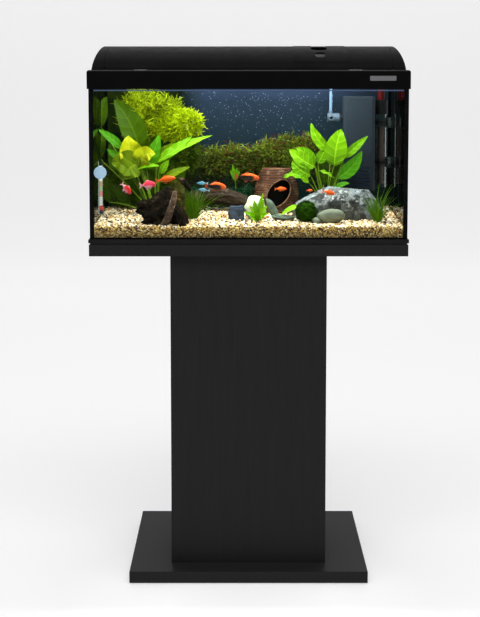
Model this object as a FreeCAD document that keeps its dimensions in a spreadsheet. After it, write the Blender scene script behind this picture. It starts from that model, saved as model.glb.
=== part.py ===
import FreeCAD, Part
import math
import os
import re

import Sketcher

# Aquarium on stand. Millimetres, +Z up, X along the tank, -Y towards the viewer.
# The origin is the middle of the footprint, on the floor.

V = FreeCAD.Vector
Turn = FreeCAD.Rotation

# Driving dimensions. A 54 litre tank, 600 x 300 x 300, decides most of the others.
SIZES = {
    "tank_length": 600, "tank_width": 300, "tank_height": 300,
    "glass": 5, "glue": 0.8, "bead": 3, "film": 0.5,
    "glide": 1, "board": 22, "mat": 3, "soften": 1.2,
    "base_length": 455, "base_width": 380,
    "column_length": 298, "column_width": 274, "column_height": 601, "panel": 16,
    "top_length": 604, "top_width": 304,
    "frame_fit": 0.5, "frame_wall": 2.5, "ledge": 2, "lip": 7, "ledge_reach": 12,
    "band_height": 35.5, "band_overlap": 12, "band_round": 4.5,
    "arch_half": 150, "arch_rise": 47, "shell": 2,
    "seam": 270, "end_base": 294, "end_crest": 280, "play": 0.3,
    "flap_hinge": 70, "knuckle": 3.5, "pin": 1.5, "running": 0.05, "swing": 2.4,
    "hatch_knuckle": 2, "hatch_pin": 0.8,
    "hatch_left": 83, "hatch_right": 191, "hatch_front": 143, "hatch_back": 20,
    "gravel_front": 24, "gravel_back": 37,
    "filter_x": 226, "filter_y": 97, "filter_length": 66, "filter_width": 50,
    "heater_x": 275, "heater_y": 124, "heater_r": 12.5,
    "meter_x": -280, "meter_y": -131, "meter_r": 5.5,
}

# Heights and half sizes worked out from them.
LEVELS = {
    "base_top": "glide + board",
    "column_top": "glide + board + column_height",
    "stand_top": "glide + 2 * board + column_height",
    "mat_top": "glide + 2 * board + column_height + mat",
    "tank_foot": "glide + 2 * board + column_height + mat + ledge",
    "floor_top": "glide + 2 * board + column_height + mat + ledge + glass",
    "tank_rim": "glide + 2 * board + column_height + mat + ledge + tank_height",
    "band_foot": "glide + 2 * board + column_height + mat + ledge + tank_height - band_overlap",
    "band_top": "glide + 2 * board + column_height + mat + ledge + tank_height"
                " - band_overlap + band_height",
    "half_length": "tank_length / 2",
    "half_width": "tank_width / 2",
    "frame_length": "tank_length + 2 * frame_fit + 2 * frame_wall",
    "frame_width": "tank_width + 2 * frame_fit + 2 * frame_wall",
}

doc = FreeCAD.newDocument("AquariumOnStand")
NODES = []


def make_sheets():
    """Fill the two spreadsheets and return the value of every alias."""
    sizes = doc.addObject("Spreadsheet::Sheet", "Sizes")
    for row, (alias, number) in enumerate(SIZES.items(), start=1):
        sizes.set("A%d" % row, alias)
        sizes.set("B%d" % row, str(number))
        sizes.setAlias("B%d" % row, alias)
    doc.recompute()
    levels = doc.addObject("Spreadsheet::Sheet", "Levels")
    for row, (alias, formula) in enumerate(LEVELS.items(), start=1):
        levels.set("A%d" % row, alias)
        levels.set("B%d" % row, "=" + expand(formula))
        levels.setAlias("B%d" % row, alias)
    doc.recompute()
    values = {alias: float(sizes.get(alias)) for alias in SIZES}
    values.update({alias: float(levels.get(alias)) for alias in LEVELS})
    return values


def expand(formula):
    """Write each alias in a formula with the name of its sheet."""
    def sheet_name(match):
        word = match.group(0)
        if word in SIZES:
            return "Sizes." + word
        if word in LEVELS:
            return "Levels." + word
        return word
    return re.sub(r"[a-z_]+", sheet_name, str(formula))


def bind(item, **formulas):
    """Tie properties to the sheets; a double underscore stands for a dot."""
    for path, formula in formulas.items():
        item.setExpression(path.replace("__", "."), expand(formula))


def place(item, x, y, z, turn=None):
    if turn is not None:
        item.Placement = FreeCAD.Placement(V(0, 0, 0), turn)
    bind(item, Placement__Base__x=x, Placement__Base__y=y, Placement__Base__z=z)
    return item


def node(label, item):
    """Name a finished sub-part."""
    item.Label = label
    NODES.append(item)
    return item


# ---- plain shapes -------------------------------------------------------------------------

def block(name, x, y, z):
    """A box between two formulas along each axis."""
    item = doc.addObject("Part::Box", name)
    bind(item, Length="(%s) - (%s)" % (x[1], x[0]), Width="(%s) - (%s)" % (y[1], y[0]),
         Height="(%s) - (%s)" % (z[1], z[0]))
    return place(item, x[0], y[0], z[0])


ALONG = {"X": Turn(V(0, 1, 0), 90), "Y": Turn(V(1, 0, 0), -90), "Z": Turn(), "-Y": Turn(V(1, 0, 0), 90)}


def rod(name, radius, length, x, y, z, along="Z"):
    item = doc.addObject("Part::Cylinder", name)
    bind(item, Radius=radius, Height=length)
    return place(item, x, y, z, ALONG[along])


def cone(name, low, high, height, x, y, z, turn=None):
    item = doc.addObject("Part::Cone", name)
    bind(item, Radius1=low, Radius2=high, Height=height)
    return place(item, x, y, z, turn)


def ellipsoid(name, radii, x, y, z, turn=None):
    item = doc.addObject("Part::Ellipsoid", name)
    bind(item, Radius1=radii[2], Radius2=radii[0], Radius3=radii[1])
    item.Angle1 = -90
    item.Angle2 = 90
    item.Angle3 = 360
    return place(item, x, y, z, turn)


def cut(name, base, *tools):
    item = doc.addObject("Part::Cut", name)
    item.Base = base
    item.Tool = tools[0] if len(tools) == 1 else fuse(name + "_tool", *tools)
    return item


def fuse(name, *members):
    item = doc.addObject("Part::MultiFuse", name)
    item.Shapes = list(members)
    return item


def common(name, base, tool):
    item = doc.addObject("Part::Common", name)
    item.Base = base
    item.Tool = tool
    return item


def group(name, *members):
    """Equal pieces that stay separate solids in one sub-part."""
    item = doc.addObject("Part::Compound", name)
    item.Links = list(members)
    return item


# ---- plates made as sketch, pad and fillet --------------------------------------------------

def rectangle(body, name, length, width):
    """A rectangle centred on the body's origin, with both sizes tied to the sheets."""
    plane = [item for item in body.Origin.OriginFeatures if item.Role == "XY_Plane"][0]
    sketch = body.newObject("Sketcher::SketchObject", name)
    sketch.AttachmentSupport = (plane, [""])
    sketch.MapMode = "FlatFace"
    corners = [V(-20, -10, 0), V(20, -10, 0), V(20, 10, 0), V(-20, 10, 0)]
    for side in range(4):
        sketch.addGeometry(Part.LineSegment(corners[side], corners[(side + 1) % 4]))
    for side in range(4):
        sketch.addConstraint(Sketcher.Constraint("Coincident", side, 2, (side + 1) % 4, 1))
        sketch.addConstraint(Sketcher.Constraint("Horizontal" if side % 2 == 0 else "Vertical", side))
    sketch.addConstraint(Sketcher.Constraint("Symmetric", 0, 1, 1, 2, -1, 1))
    for side, kind, label, formula in ((0, "DistanceX", "length", length), (1, "DistanceY", "width", width)):
        number = sketch.addConstraint(Sketcher.Constraint(kind, side, 1, side, 2, 20))
        sketch.renameConstraint(number, label)
        sketch.setExpression("Constraints." + label, expand(formula))
    return sketch


def straight_edges(shape, wanted):
    """Names of the edges whose two ends satisfy the test."""
    names = []
    for number, edge in enumerate(shape.Edges, start=1):
        ends = [vertex.Point for vertex in edge.Vertexes]
        if wanted(ends[0], ends[-1]):
            names.append("Edge%d" % number)
    return names


def plate(name, length, width, thick, corner=None, rim=None):
    """A plate centred in X and Y on Z = 0, with rounded corners and a rounded upper rim."""
    body = doc.addObject("PartDesign::Body", name)
    sketch = rectangle(body, name + "_sketch", length, width)
    pad = body.newObject("PartDesign::Pad", name + "_pad")
    pad.Profile = sketch
    bind(pad, Length=thick)
    doc.recompute()
    top = pad.Shape.BoundBox.ZMax
    tests = (
        (corner, lambda a, b: abs(a.z - b.z) > 0.9 * top),
        (rim, lambda a, b: abs(a.z - top) < 1e-6 and abs(b.z - top) < 1e-6),
    )
    for radius, wanted in tests:
        if radius is None:
            continue
        base = body.Tip
        rounding = body.newObject("PartDesign::Fillet", name + "_rounding")
        rounding.Base = (base, straight_edges(base.Shape, wanted))
        bind(rounding, Radius=radius)
        doc.recompute()
    return body


# ---- stand ----------------------------------------------------------------------------------

def stand_fixings():
    """Dowels that join the brace to the panels, and the screws through both boards."""
    dowels = []
    middle = "base_top + column_height / 2"
    for number, (side, x) in enumerate((side, x) for side in (-1, 1) for x in (-90, 90)):
        start = "%d * (column_width / 2 - panel / 2) - %s" % (side, 0 if side < 0 else 28)
        dowels.append(rod("dowel_y%d" % number, 4, 28, x, start, middle, "Y"))
    for number, (side, y) in enumerate((side, y) for side in (-1, 1) for y in (-70, 70)):
        start = "%d * (column_length / 2 - panel / 2) - %s" % (side, 0 if side < 0 else 28)
        dowels.append(rod("dowel_x%d" % number, 4, 28, start, y, middle, "X"))
    screws = {}
    for name, level, head, head_turn in (("base", "base_top", "glide", None),
                                         ("top", "column_top", "stand_top", Turn(V(1, 0, 0), 180))):
        pieces = []
        for number, (x, y) in enumerate((x, y) for x in (-1, 1) for y in (-1, 1)):
            at_x = "%d * (column_length / 2 - panel / 2)" % x
            at_y = "%d * 90" % y
            shank = rod("%s_shank%d" % (name, number), 2, 44, at_x, at_y, level + " - 22")
            sink = cone("%s_head%d" % (name, number), 4.5, 2, 3, at_x, at_y, head, head_turn)
            pieces.append(fuse("%s_screw%d" % (name, number), shank, sink))
        screws[name] = pieces
    return (node("column_dowels", group("dowel_group", *dowels)),
            node("stand_screws", group("screw_group", *screws["base"], *screws["top"])))


def stand():
    dowels, screws = stand_fixings()
    fixings = group("fixings", dowels, screws)
    glides = [rod("glide%d" % number, 12, "glide", "%d * (base_length / 2 - 30)" % x,
                  "%d * (base_width / 2 - 30)" % y, 0)
              for number, (x, y) in enumerate((x, y) for x in (-1, 1) for y in (-1, 1))]
    node("base_glides", group("glide_group", *glides))
    base = place(plate("base_blank", "base_length", "base_width", "board", "soften", "soften"), 0, 0, "glide")
    node("base_board", cut("base_drilled", base, screws))
    top_blank = plate("top_blank", "top_length", "top_width", "board", "soften", "soften")
    top = place(top_blank, 0, 0, "column_top")
    node("top_board", cut("top_drilled", top, screws))
    height = ("base_top", "column_top")
    for name, side in (("front", -1), ("rear", 1)):
        outer, inner = "%d * column_width / 2" % side, "%d * (column_width / 2 - panel)" % side
        span = (outer, inner) if side < 0 else (inner, outer)
        panel = block(name + "_blank", ("-column_length / 2", "column_length / 2"), span, height)
        node("column_%s_panel" % name, cut(name + "_drilled", panel, fixings))
    for name, side in (("left", -1), ("right", 1)):
        outer, inner = "%d * column_length / 2" % side, "%d * (column_length / 2 - panel)" % side
        span = (outer, inner) if side < 0 else (inner, outer)
        depth = ("-(column_width / 2 - panel)", "column_width / 2 - panel")
        blank = block(name + "_blank", span, depth, height)
        node("column_%s_panel" % name, cut(name + "_drilled", blank, fixings))
    brace = block("brace_blank", ("-(column_length / 2 - panel)", "column_length / 2 - panel"),
                  ("-(column_width / 2 - panel)", "column_width / 2 - panel"),
                  ("base_top + (column_height - panel) / 2", "base_top + (column_height + panel) / 2"))
    node("column_brace", cut("brace_drilled", brace, fixings))
    mat = plate("mat_plate", "tank_length", "tank_width", "mat", "soften")
    node("levelling_mat", place(mat, 0, 0, "stand_top"))


# ---- tank -----------------------------------------------------------------------------------

def tank():
    outer = plate("tank_frame_blank", "frame_length", "frame_width", "lip", "soften", "0.8")
    place(outer, 0, 0, "mat_top")
    seat = block("tank_frame_seat", ("-half_length - frame_fit", "half_length + frame_fit"),
                 ("-half_width - frame_fit", "half_width + frame_fit"), ("tank_foot", "tank_rim"))
    hole = block("tank_frame_hole", ("-half_length + ledge_reach", "half_length - ledge_reach"),
                 ("-half_width + ledge_reach", "half_width - ledge_reach"), ("mat_top - 1", "tank_rim"))
    node("tank_base_frame", cut("tank_frame", outer, seat, hole))

    height = ("tank_foot", "tank_rim")
    node("glass_bottom", block("pane_bottom", ("-half_length + glass + glue", "half_length - glass - glue"),
                               ("-half_width + glass + glue", "half_width - glass - glue"),
                               ("tank_foot", "floor_top")))
    across = ("-half_length", "half_length")
    between = ("-half_width + glass + glue", "half_width - glass - glue")
    node("glass_front", block("pane_front", across, ("-half_width", "-half_width + glass"), height))
    node("glass_rear", block("pane_rear", across, ("half_width - glass", "half_width"), height))
    left = node("glass_left", block("pane_left", ("-half_length", "-half_length + glass"), between, height))
    right = node("glass_right", block("pane_right", ("half_length - glass", "half_length"), between, height))

    # The silicone fills the gaps between the panes and leaves a bevelled bead in each inner corner.
    filled = block("seam_blank", across, ("-half_width + glass", "half_width - glass"),
                   ("tank_foot", "tank_rim - 2"))
    body = doc.addObject("PartDesign::Body", "seam_core")
    pad = body.newObject("PartDesign::Pad", "seam_core_pad")
    pad.Profile = rectangle(body, "seam_core_sketch", "tank_length - 2 * glass", "tank_width - 2 * glass")
    bind(pad, Length="tank_height")
    doc.recompute()
    corners = straight_edges(pad.Shape, lambda a, b: a.z < 1 or b.z < 1)
    bevel = body.newObject("PartDesign::Chamfer", "seam_core_bevel")
    bevel.Base = (pad, corners)
    bind(bevel, Size="bead")
    place(body, 0, 0, "floor_top")
    floor = doc.getObject("pane_bottom")
    silicone = node("silicone_joints", cut("seams", filled, left, right, floor, body))
    node("background_sheet", block("backing", ("-half_length + 2", "half_length - 2"),
                                   ("half_width", "half_width + film"), ("mat_top + lip + 1", "band_foot - 1")))
    return silicone


# ---- hood -----------------------------------------------------------------------------------

def arch(name, inset):
    """The solid barrel arch of the hood, drawn in by the inset."""
    curve = doc.addObject("Part::Ellipse", name + "_curve")
    bind(curve, MajorRadius="arch_half - %s" % inset, MinorRadius="arch_rise - %s" % inset)
    place(curve, "-half_length", 0, "band_top", Turn(V(1, 1, 1), 120))
    solid = doc.addObject("Part::Extrusion", name)
    solid.Base = curve
    solid.DirMode = "Custom"
    solid.Dir = V(1, 0, 0)
    solid.Solid = True
    bind(solid, LengthFwd="tank_length")
    return solid


def arch_level(values, y):
    """Height of the arch's outer surface at a depth y."""
    return values["band_top"] + values["arch_rise"] * math.sqrt(1 - (y / values["arch_half"]) ** 2)


def hood_frame():
    """The band: a C-shaped ring whose inner ledge rests on the rim of the glass."""
    outer = plate("band_blank", "frame_length", "frame_width", "band_height", "soften * 2", "band_round")
    place(outer, 0, 0, "band_foot")
    wide_x, wide_y = ("-half_length - frame_fit", "half_length + frame_fit"), ("-half_width - frame_fit",
                                                                             "half_width + frame_fit")
    skirt = block("band_skirt", wide_x, wide_y, ("band_foot - 1", "tank_rim"))
    cavity = block("band_cavity", wide_x, wide_y, ("tank_rim + frame_wall", "band_top - frame_wall"))
    throat = block("band_throat", ("-half_length + ledge_reach", "half_length - ledge_reach"),
                   ("-half_width + ledge_reach", "half_width - ledge_reach"), ("band_foot - 1", "band_top + 1"))
    node("hood_frame", cut("band", outer, skirt, cavity, throat))
    badge = plate("badge_blank", 49, 9, 0.9, 1.5)
    place(badge, 251, "-frame_width / 2", "band_foot + 20", Turn(V(1, 0, 0), 90))
    node("badge", badge)


def hood_end(name, side, outer, inner):
    """An end piece of the arch, leaning inwards with a slight bulge."""
    def profile(label, inset, foot):
        low = VALUES["end_base"] - inset
        high = VALUES["end_crest"] - inset
        base = VALUES["band_top"]
        top = base + VALUES["arch_rise"] + 8
        lean = (high - low) / VALUES["arch_rise"]
        crown = V(side * (low + lean * (top - base)), -200, top)
        bulge = V(side * (low + lean * (top - base) * 0.5 + 2), -200, (base + top) / 2)
        start = V(side * low, -200, base)
        near = side * (VALUES["seam"] + (VALUES["play"] if foot else -5))
        edges = [Part.LineSegment(V(near, -200, base), start).toShape(),
                 Part.Arc(start, bulge, crown).toShape(),
                 Part.LineSegment(crown, V(near, -200, top)).toShape(),
                 Part.LineSegment(V(near, -200, top), V(near, -200, base)).toShape()]
        item = doc.addObject("Part::Feature", label)
        item.Shape = Part.Face(Part.Wire(edges)).extrude(V(0, 400, 0))
        item.Placement = FreeCAD.Placement()
        return item
    whole = common(name + "_whole", outer, profile(name + "_profile", 0, True))
    hollow = common(name + "_hollow", inner, profile(name + "_inner_profile", VALUES["shell"], False))
    return node(name, cut(name + "_shell", whole, hollow))


def knuckles(name, spans, y, z, radius):
    """Round hinge lugs along X, each with a web that ties it to its plate."""
    return [rod("%s_lug%d" % (name, number), radius, "%s - %s" % (high, low), low, y, z, "X")
            for number, (low, high) in enumerate(spans)]


def webs(name, spans, y, z, side, reach):
    """Blocks that tie the lugs to the plate on one side of the hinge line."""
    made = []
    for number, (low, high) in enumerate(spans):
        span = (y, "%s + %s" % (y, reach)) if side > 0 else ("%s - %s" % (y, reach), y)
        made.append(block("%s_web%d" % (name, number), (low, high), span, ("%s - 1.6" % z, "%s + 0.6" % z)))
    return made


def hood_covers():
    outer, inner = arch("arch_outer", "0"), arch("arch_inner", "shell")
    shell = cut("arch_shell", outer, inner)
    hood_end("hood_end_left", -1, outer, inner)
    hood_end("hood_end_right", 1, outer, inner)

    hinge_z = arch_level(VALUES, VALUES["flap_hinge"]) - 1
    moving = [(-215, -190), (190, 215)]
    fixed = [(-240, -215.4), (-189.6, -165), (165, 189.6), (215.4, 240)]
    bore = rod("flap_bore", "pin + running", 600, -300, "flap_hinge", hinge_z, "X")
    pins = [rod("flap_pin%d" % number, "pin", 75, low, "flap_hinge", hinge_z, "X")
            for number, low in enumerate((-240, 165))]
    node("flap_pins", group("flap_pin_group", *pins))

    # Rear cover, fixed to the band, with its share of the hinge and two cable notches.
    region = block("rear_region", ("-seam", "seam"), ("flap_hinge + swing", "arch_half + 1"),
                   ("band_top", "band_top + 60"))
    cover = common("rear_arch", shell, region)
    relief = [block("rear_relief%d" % number, (low - 0.5, high + 0.5), ("flap_hinge - 1", "flap_hinge + 4.4"),
                    (hinge_z - 8, hinge_z + 8)) for number, (low, high) in enumerate(moving)]
    notches = [block("cable_notch%d" % number, (x - 15, x + 15), ("arch_half - 12", "arch_half + 2"),
                     ("band_top - 1", "band_top + 14")) for number, x in enumerate((-225, 225))]
    opened = cut("rear_opened", cover, *relief, *notches)
    lugs = knuckles("rear", fixed, "flap_hinge", hinge_z, "knuckle")
    ties = webs("rear", fixed, "flap_hinge", hinge_z, 1, 6)
    node("hood_rear_cover", cut("rear_bored", fuse("rear_joined", opened, *lugs, *ties),
                                rod("rear_bore", "pin", 600, -300, "flap_hinge", hinge_z, "X")))

    # Main flap, from the front of the band to the hinge line.
    front = plate("flap_region", "2 * (seam - play)", 140, "arch_half + flap_hinge", 8)
    place(front, 0, "flap_hinge - 1", "band_top + 70.8", Turn(V(1, 0, 0), 90))
    flap = common("flap_arch", shell, front)
    hatch = plate("hatch_hole", "hatch_right - hatch_left", "hatch_front - hatch_back + swing", 80, 6)
    place(hatch, "(hatch_left + hatch_right) / 2", "-(hatch_front + hatch_back - swing) / 2", "band_top - 5")
    clear = [block("flap_relief%d" % number, (low - 0.5, high + 0.5), ("flap_hinge - 4.4", "flap_hinge + 1"),
                   (hinge_z - 8, hinge_z + 8)) for number, (low, high) in enumerate(fixed)]
    small_z = arch_level(VALUES, VALUES["hatch_back"]) - 1.3
    small_moving = [(97, 112), (162, 177)]
    small_fixed = [(87, 96.6), (112.4, 122), (152, 161.6), (177.4, 187)]
    small_bore = rod("hatch_bore", "hatch_pin + running", 120, 77, "-hatch_back", small_z, "X")
    small_pins = [rod("hatch_pin%d" % number, "hatch_pin", 35, low, "-hatch_back", small_z, "X")
                  for number, low in enumerate((87, 152))]
    node("hatch_pins", group("hatch_pin_group", *small_pins))
    relief_y, relief_z = ("-hatch_back", "-hatch_back + 3.1"), (small_z - 6, small_z + 6)
    small_relief = [block("hatch_relief%d" % number, (low - 0.4, high + 0.4), relief_y, relief_z)
                    for number, (low, high) in enumerate(small_moving)]
    small_lugs = knuckles("hatch_fixed", small_fixed, "-hatch_back", small_z, "hatch_knuckle")
    small_ties = webs("hatch_fixed", small_fixed, "-hatch_back", small_z, 1, 5)
    opened = cut("flap_opened", flap, hatch, *clear, *small_relief)
    lugs = knuckles("flap", moving, "flap_hinge", hinge_z, "knuckle")
    ties = webs("flap", moving, "flap_hinge", hinge_z, -1, 6)
    joined = fuse("flap_joined", opened, *lugs, *ties, *small_lugs, *small_ties)
    node("main_flap", cut("flap_bored", joined, bore,
                          rod("hatch_fixed_bore", "hatch_pin", 120, 77, "-hatch_back", small_z, "X")))
    feeding_flap(shell, small_moving, small_fixed, small_z, small_bore)
    grip_cup(inner)
    light_bar()


def feeding_flap(shell, moving, fixed, hinge_z, bore):
    """Small flap in the main flap, with a pinch grip: two pockets and the bar left between them."""
    region = plate("hatch_region", "hatch_right - hatch_left - 2 * play", "hatch_front - hatch_back - 2",
                   80, 5.5)
    place(region, "(hatch_left + hatch_right) / 2", "-(hatch_front + hatch_back) / 2", "band_top - 5")
    lid = common("hatch_arch", shell, region)
    middle = "(hatch_left + hatch_right) / 2 - 2"
    rear_pocket = place(plate("rear_pocket", 31, 45, 90, 15), middle, -67.5, "band_top - 20")
    front_pocket = place(plate("front_pocket", 19.5, 26, 90, 9), middle, -117, "band_top - 20")
    relief = [block("lid_relief%d" % number, (low - 0.4, high + 0.4), ("-hatch_back - 3.1", "-hatch_back"),
                    (hinge_z - 6, hinge_z + 6)) for number, (low, high) in enumerate(fixed)]
    lugs = knuckles("lid", moving, "-hatch_back", hinge_z, "hatch_knuckle")
    ties = webs("lid", moving, "-hatch_back", hinge_z, -1, 5)
    opened = cut("lid_opened", lid, rear_pocket, front_pocket, *relief)
    node("feeding_flap", cut("lid_bored", fuse("lid_joined", opened, *lugs, *ties), bore))


def grip_cup(inner):
    """Cup glued under the pinch grip, so that the fingers reach no water and no light."""
    outside = block("cup_outside", (111, 159), (-133.5, -42), ("band_top + 1", "band_top + 60"))
    inside = block("cup_inside", (112.5, 157.5), (-132, -43.5), ("band_top + 1", "band_top + 60"))
    outer_ring = cut("cup_outer_ring", inner, arch("cup_outer_floor", "(shell + 13.5)"))
    inner_ring = cut("cup_inner_ring", inner, arch("cup_inner_floor", "(shell + 12)"))
    node("grip_cup", cut("cup", common("cup_block", outer_ring, outside),
                         common("cup_hollow", inner_ring, inside)))


def light_bar():
    """Light bar on two clips that stand on the band's upper flange."""
    trough = block("light_blank", (-240, 240), (5, 45), ("band_top + 9.5", "band_top + 21.5"))
    hollow = block("light_hollow", (-238, 238), (7, 43), ("band_top + 9.5", "band_top + 20"))
    node("light_housing", cut("light_trough", trough, hollow))
    node("light_lens", block("light_pane", (-226, 226), (7.2, 42.8), ("band_top + 9.5", "band_top + 12")))
    clips = []
    for number, side in enumerate((-1, 1)):
        foot = (-291, -228) if side < 0 else (228, 291)
        riser = (-240, -228) if side < 0 else (228, 240)
        strip = block("clip_strip%d" % number, foot, (15, 35), ("band_top", "band_top + 3"))
        post = block("clip_post%d" % number, riser, (15, 35), ("band_top", "band_top + 9.5"))
        clips.append(fuse("light_clip%d" % number, strip, post))
    node("light_clips", group("clip_group", *clips))


# ---- equipment ------------------------------------------------------------------------------

def water_filter():
    canister_foot, joint, crown = "floor_top + 75", "floor_top + 193", "floor_top + 266"
    outer = place(plate("canister_outer", "filter_length", "filter_width", 118, 9), "filter_x", "filter_y",
                  canister_foot)
    hollow = place(plate("canister_hollow", "filter_length - 4", "filter_width - 4", 118, 7), "filter_x",
                   "filter_y", canister_foot + " + 2")
    slot_x = ("filter_x - 22", "filter_x + 22")
    slot_y = ("filter_y - filter_width / 2 - 1", "filter_y - filter_width / 2 + 3")
    slots = []
    for number in range(6):
        rise = 10 + 7 * number
        slot_z = ("%s + %d" % (canister_foot, rise), "%s + %d" % (canister_foot, rise + 2))
        slots.append(block("slot%d" % number, slot_x, slot_y, slot_z))
    node("filter_canister", cut("canister", outer, hollow, *slots))
    node("filter_sponge", place(plate("sponge", "filter_length - 6", "filter_width - 6", 100, 6), "filter_x",
                                "filter_y", canister_foot + " + 3"))
    head_blank = plate("head_blank", "filter_length", "filter_width", 73, 9, 3)
    head = place(head_blank, "filter_x", "filter_y", joint)
    chamber = rod("chamber", 10, 40, "filter_x", "filter_y", joint)
    shaft = node("impeller_shaft", rod("shaft", 1, 44, "filter_x", "filter_y", joint + " + 4"))
    stub = rod("stub", 6, 20, "filter_x - filter_length / 2 - 14", "filter_y", crown + " - 43", "X")
    duct = rod("duct", 4, 40, "filter_x - filter_length / 2 - 15", "filter_y", crown + " - 43", "X")
    node("filter_head", cut("head", fuse("head_stub", head, stub), chamber, shaft, duct))

    magnet = rod("magnet", 7, 20, "filter_x", "filter_y", joint + " + 16")
    vanes = [block("vane%d" % number, ("filter_x - %s" % half_x, "filter_x + %s" % half_x),
                   ("filter_y - %s" % half_y, "filter_y + %s" % half_y), (joint + " + 8", joint + " + 16"))
             for number, (half_x, half_y) in enumerate(((8, 0.6), (0.6, 8)))]
    node("impeller", cut("impeller_bored", fuse("impeller_joined", magnet, *vanes),
                         rod("impeller_bore", "1 + running", 40, "filter_x", "filter_y", joint)))

    axis_z, left = crown + " - 43", "filter_x - filter_length / 2"
    barrel = rod("nozzle_barrel", 9, 24, left + " - 30", "filter_y", axis_z, "X")
    spout = rod("nozzle_spout", 5, 22, left + " - 23.5", "filter_y", axis_z, "-Y")
    socket = rod("nozzle_socket", 4.5, 14, left + " - 23.5", "filter_y", axis_z)
    seat = rod("nozzle_seat", "6 + running", 14, left + " - 15", "filter_y", axis_z, "X")
    jet = rod("nozzle_jet", 3.5, 24, left + " - 23.5", "filter_y", axis_z, "-Y")
    throat = rod("nozzle_throat", 3, 14, left + " - 24", "filter_y", axis_z, "X")
    air_hole = rod("nozzle_air_hole", 3, 10, left + " - 23.5", "filter_y", axis_z + " + 8")
    node("filter_nozzle", cut("nozzle", fuse("nozzle_joined", barrel, spout, socket),
                              seat, jet, throat, air_hole))
    tube = rod("air_outer", 3, 72, left + " - 23.5", "filter_y", axis_z + " + 8")
    bore = rod("air_inner", 2, 74, left + " - 23.5", "filter_y", axis_z + " + 7")
    node("air_intake_tube", cut("air_tube", tube, bore))

    rear = "filter_y + filter_width / 2"
    rail = block("bracket_rail", ("filter_x - 20", "filter_x + 20"), (rear, rear + " + 4"),
                 (canister_foot + " + 20", crown + " - 12"))
    cups = [rod("bracket_cup%d" % number, 9, "half_width - glass - filter_y - filter_width / 2 - 4",
                "filter_x + %d" % x, rear + " + 4", "floor_top + %d" % z, "Y")
            for number, (x, z) in enumerate((x, z) for x in (-10, 10) for z in (110, 240))]
    node("filter_bracket", rail)
    return cups


def heater():
    foot, neck, crown = "floor_top + 77", "floor_top + 229", "floor_top + 258.5"
    tube = rod("heater_outer", "heater_r", 152, "heater_x", "heater_y", foot)
    hollow = rod("heater_inner", "heater_r - 1.2", 152, "heater_x", "heater_y", foot + " + 1.2")
    node("heater_tube", cut("heater_glass", tube, hollow))
    core = rod("element_core", 6, 118, "heater_x", "heater_y", foot + " + 8")
    collar_feet = ["%s + %d" % (foot, 8 + 38 * number) for number in range(4)]
    collars = [rod("element_collar%d" % number, 8, 4, "heater_x", "heater_y", collar_foot)
               for number, collar_foot in enumerate(collar_feet)]
    node("heater_element", fuse("element", core, *collars))
    head = rod("heater_cap", "heater_r + 0.8", "29.5", "heater_x", "heater_y", neck)
    node("heater_head", cut("heater_cap_bored", head,
                            rod("dial_bore", "3 + running", 12, "heater_x", "heater_y", crown + " - 9")))
    knob = rod("dial_knob", 7, 22, "heater_x", "heater_y", crown + " + 0.3")
    stem = rod("dial_stem", 3, 9, "heater_x", "heater_y", crown + " - 8")
    flat = block("dial_notch", ("heater_x - 1", "heater_x + 1"), ("heater_y - 8", "heater_y - 5"),
                 (crown + " + 6", crown + " + 30"))
    node("heater_dial", cut("dial", fuse("dial_joined", knob, stem), flat))
    clips, cups = [], []
    for number, level in enumerate((130, 212)):
        z = "floor_top + %d" % level
        ring = rod("ring_outer%d" % number, "heater_r + 2.5", 8, "heater_x", "heater_y", z + " - 4")
        clips.append(cut("heater_ring%d" % number, ring, doc.getObject("heater_outer")))
        disc = rod("heater_disc%d" % number, 11, "half_length - glass - heater_x - heater_r - 1",
                   "heater_x + heater_r + 1", "heater_y", z, "X")
        cups.append(cut("heater_cup%d" % number, disc, ring))
    node("heater_rings", group("heater_ring_group", *clips))
    return cups


def thermometer():
    foot = "floor_top + 42"
    body = rod("meter_outer", "meter_r", 98, "meter_x", "meter_y", foot + " + 5.5")
    ends = [ellipsoid("meter_end%d" % number, ("meter_r", "meter_r", "meter_r"), "meter_x", "meter_y",
                      "%s + %s" % (foot, height)) for number, height in enumerate(("5.5", "103.5"))]
    hollow = rod("meter_inner", "meter_r - 0.8", 100, "meter_x", "meter_y", foot + " + 4.5")
    node("thermometer_tube", cut("meter", fuse("meter_joined", body, *ends), hollow))
    strip = block("meter_strip", ("meter_x - 3", "meter_x + 3"), ("meter_y - 0.5", "meter_y + 0.5"),
                  (foot + " + 20", foot + " + 96"))
    ballast = rod("meter_ballast", "meter_r - 1.1", 14, "meter_x", "meter_y", foot + " + 5")
    node("thermometer_scale", group("meter_inside", strip, ballast))
    disc = rod("meter_disc", 11.8, 4, "meter_x", "-half_width + glass", foot + " + 84", "Y")
    stem = rod("meter_stem", 3, "half_width - glass + meter_y - meter_r", "meter_x", "-half_width + glass",
               foot + " + 84", "Y")
    collar = rod("meter_collar", "meter_r + 1.5", 8, "meter_x", "meter_y", foot + " + 80")
    node("thermometer_cup", cut("meter_clip", fuse("meter_clip_joined", disc, stem, collar), body))


# ---- contents -------------------------------------------------------------------------------

def river_stones():
    pebble = ellipsoid("pebble", (30, 12, 14), 162, -93, "floor_top + 38", Turn(V(0, 1, 0), 4))
    pale = ellipsoid("pale_stone", (18, 14, 26), 14, -44, "floor_top + 48")
    cut_stone = block("cut_stone", (-38, -9), (-62, -36), ("floor_top + 22", "floor_top + 54"))
    leaning = ellipsoid("leaning_stone", (8, 8, 24), 48, -40, "floor_top + 46", Turn(V(0, 1, 0), -28))
    lying = ellipsoid("lying_stone", (22, 9, 6), 68, -60, "floor_top + 33", Turn(V(0, 1, 0), 6))
    return node("river_stones", group("stones", pebble, pale, cut_stone, leaning, lying))


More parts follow.
